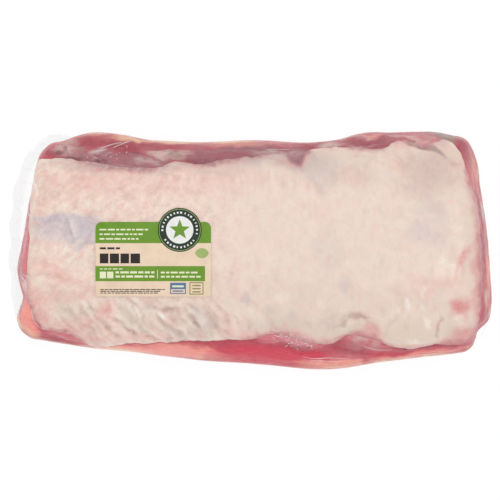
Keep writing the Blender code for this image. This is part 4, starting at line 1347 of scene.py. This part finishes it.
def far_corners():
    """The label's two round far corners, the right one and the left one."""
    y = LABEL_FAR - LABEL_CORNER
    right = arc(LABEL_RIGHT - LABEL_CORNER, y, LABEL_CORNER, 0, math.pi / 2, 7)
    left = arc(LABEL_LEFT + LABEL_CORNER, y, LABEL_CORNER, math.pi / 2, math.pi, 7)
    return right, left


def label_outline():
    """Points round the label: a rectangle with round far corners, and the badge's arc."""
    start = math.asin((LABEL_FAR - BADGE_Y) / BADGE_RADIUS)
    badge = arc(BADGE_X, BADGE_Y, BADGE_RADIUS, start, math.pi - start, 24)
    right, left = far_corners()
    return [(LABEL_LEFT, LABEL_NEAR), (LABEL_RIGHT, LABEL_NEAR)] + right + badge + left


def printed_shapes(rng):
    """Everything on the label as (ink, outline), the lowest first, placed as the label lies on the pack."""
    right, left = far_corners()
    band = [(LABEL_LEFT, UPPER_BAND_NEAR), (LABEL_RIGHT, UPPER_BAND_NEAR)] + right + left
    shapes = [("paper", label_outline()), ("mid green", band)]
    shapes.append(("mid green", box(LABEL_LEFT, LOWER_BAND_NEAR, LOWER_BAND_RIGHT, LOWER_BAND_FAR)))

    def print_words(ink, *row):
        shapes.extend((ink, bar) for bar in words(rng, *row))

    def print_boxes(ink, *boxes):
        shapes.extend((ink, box(*sides)) for sides in boxes)

    for ink, inset in (("dark green", 0), ("leaf", 0.7), ("dark green", 1.0)):
        shapes.append((ink, disc(BADGE_X, BADGE_Y, BADGE_RADIUS - inset, 56)))
    for turn in [*range(-14, 190, 12), *range(212, 322, 12)]:
        shapes.append(("white", arc_bar(BADGE_X, BADGE_Y, 10.3, 11.5, turn, turn + rng.uniform(3, 7))))
    shapes.append(("white", disc(BADGE_X, BADGE_Y, 8.6)))
    shapes.append(("mid green", star(BADGE_X, BADGE_Y, 6.8, 2.8)))
    for row in range(3):
        print_words("pale", -94.5, -64 - 3 * row, 12.3 - 2.9 * row, 1.0, 1.5, 5)
    print_words("brown", -94.3, -79, 0.4, 1.3, 2.5, 5.5)
    for left, right in ((-94.3, -88.9), (-88, -82.2), (-81.3, -75.9), (-75, -69)):
        print_boxes("brown", (left, -8.4, right, -2.2))
    print_boxes("pale", (-94.3, -17.8, -90.4, -13.6), (-89.7, -17.8, -85.8, -13.6))
    for row in range(2):
        print_words("pale", -84.4, -60, -14.7 - 2.6 * row, 1.3, 2, 6)
        print_words("pale", -56, -31, -14.7 - 2.6 * row, 1.1, 2, 5)
    print_words("pale", -94.3, -80, -12.2, 0.6, 1.5, 3)
    print_boxes("pale", (-58.3, -17.9, -57.9, -12.6))
    for row in range(3):
        print_words("brown", -94, -53.5 - 2 * row, -25.1 - 1.1 * row, 0.55, 1.2, 4, 0.5)
    print_boxes("slate", (-50.2, -27.6, -40.2, -20.6))
    print_boxes("paper", (-49.6, -27.0, -40.8, -24.6))
    print_boxes("slate", (-48.6, -26.2, -41.8, -25.4))
    print_boxes("pale", (-48.8, -23.4, -41.6, -22.2))
    print_boxes("olive", (-38, -28, -29.2, -20.2))
    print_boxes("paper", (-37.4, -27.4, -29.8, -20.8))
    for row in range(3):
        print_boxes("olive", (-36.2, -22.7 - 2 * row, -31.0, -21.9 - 2 * row))
    upper_edge = arc(-30.2, -3.4, 4.6, 0.1 * math.pi, 0.9 * math.pi, 12)
    lower_edge = arc(-30.2, -0.6, 4.6, 1.1 * math.pi, 1.9 * math.pi, 12)
    shapes.append(("leaf", upper_edge + lower_edge))
    return shapes


def divided(outline, longest):
    """The same outline with a point at least every `longest` mm."""
    points = []
    for a, b in zip(outline, outline[1:] + outline[:1]):
        pieces = math.ceil(math.dist(a, b) / longest)
        points += [Vector(a).lerp(Vector(b), i / pieces) for i in range(pieces)]
    return points


def ink_material(name, colour):
    """Satin print on coated paper, with the paper's tooth and faint wear in the ink."""
    material, tree, shader, place = start_material("label " + name)
    tooth = clouds(tree, place, 2.2, 4, rough=0.6)[0]
    cloudy = between(tree, clouds(tree, place, 0.16, 2)[0], 0.3, 0.75)
    worn = blend(tree, cloudy, screen(colour), screen([0.96 * part for part in colour]))
    set_shader(
        tree,
        shader,
        Base_Color=tinted(tree, worn, [(between(tree, tooth, 0.55, 0.8), 0.1, (240, 232, 214))]),
        Normal=bump(tree, tooth, 0.06),
        Roughness=calculate(tree, "MULTIPLY_ADD", tooth, 0.2, 0.34),
        Specular_IOR_Level=0.3,
    )
    return material


rng = np.random.default_rng(11)
shapes = printed_shapes(rng)
corners, outlines = [], []
for ink, outline in shapes:
    points = divided(outline, LABEL_GRID)
    outlines.append(list(range(len(corners), len(corners) + len(points))))
    corners += points
for x in np.arange(LABEL_LEFT + LABEL_GRID, LABEL_RIGHT, LABEL_GRID):
    for y in np.arange(LABEL_NEAR + LABEL_GRID, LABEL_FAR, LABEL_GRID):
        corners.append(Vector((x, y)))
plan, _, triangles, _, _, origins = geometry.delaunay_2d_cdt(corners, [], outlines, 1, 1e-4, True)
paper = np.array([(x, y, on_film((x, y))[0].z + LABEL_GAP) for x, y in plan])
inked = [(list(face), max(origin)) for face, origin in zip(triangles, origins) if origin]
printed = np.array([face for face, _ in inked])
label_mesh = closed_layer("paper_label", paper + (0, 0, LABEL_THICKNESS), paper, printed)
ink_names = list(INKS)
for polygon, (_, topmost) in zip(label_mesh.polygons, inked):
    polygon.material_index = ink_names.index(shapes[topmost][0])
for name, colour in INKS.items():
    label_mesh.materials.append(ink_material(name, colour))
new_piece("paper_label", label_mesh, ("label",))

# Studio
# The pack lies on a plain white table under a large soft light, and the camera looks straight down on it
# from far away, as in the photograph.

# How much the picture shows across at a level above the table, and the camera's sensor, in millimetres
FRAME_SPAN = 315
VIEW_LEVEL = 40
SENSOR = 36

# Half the table's width, its drop below the pack, the camera's height and the lamps, in metres
TABLE_HALF = 3.0
TABLE_DROP = 0.0002
CAMERA_HEIGHT = 6.0
KEY_SIZE = 2.2
KEY_PLACE = (0.0, 0.25, 3.0)
GLINT_SIZE = 0.3
GLINT_PLACE = (-0.3, 1.5, 2.4)

# Strengths of the lamps in watts, and of the white sky
KEY_POWER = 25
GLINT_POWER = 3
SKY = 0.745

bm = bmesh.new()
bmesh.ops.create_grid(bm, x_segments=1, y_segments=1, size=TABLE_HALF)
table_mesh = bpy.data.meshes.new("table")
bm.to_mesh(table_mesh)
bm.free()
table = bpy.data.objects.new("table", table_mesh)
bpy.context.scene.collection.objects.link(table)
table.location.z = -TABLE_DROP
material, tree, shader, _ = start_material("white table")
set_shader(
    tree,
    shader,
    Base_Color=(0.09, 0.09, 0.09, 1),
    Roughness=0.9,
    Specular_IOR_Level=0,
    Emission_Color=(1, 1, 1, 1),
    Emission_Strength=0.93,
)
table_mesh.materials.append(material)

for name, size, corner, power in (
    ("soft key", KEY_SIZE, KEY_PLACE, KEY_POWER),
    ("small lamp", GLINT_SIZE, GLINT_PLACE, GLINT_POWER),
):
    lamp = bpy.data.lights.new(name, "AREA")
    lamp.shape = "SQUARE"
    lamp.size = size
    lamp.energy = power
    light = bpy.data.objects.new(name, lamp)
    bpy.context.scene.collection.objects.link(light)
    light.location = corner
    light.rotation_euler = (-Vector(corner)).to_track_quat("-Z", "Y").to_euler()

world = bpy.data.worlds.new("studio")
world.use_nodes = True
sky = world.node_tree.nodes["Background"]
set_shader(world.node_tree, sky, Color=(1, 1, 1, 1), Strength=SKY)
bpy.context.scene.world = world
bpy.context.scene.view_settings.view_transform = "Standard"

lens = bpy.data.cameras.new("camera")
lens.sensor_width = SENSOR
lens.lens = SENSOR * (CAMERA_HEIGHT - VIEW_LEVEL * MM) / (FRAME_SPAN * MM)
camera = bpy.data.objects.new("camera", lens)
camera.location = (0, 0, CAMERA_HEIGHT)
bpy.context.scene.collection.objects.link(camera)
bpy.context.scene.camera = camera
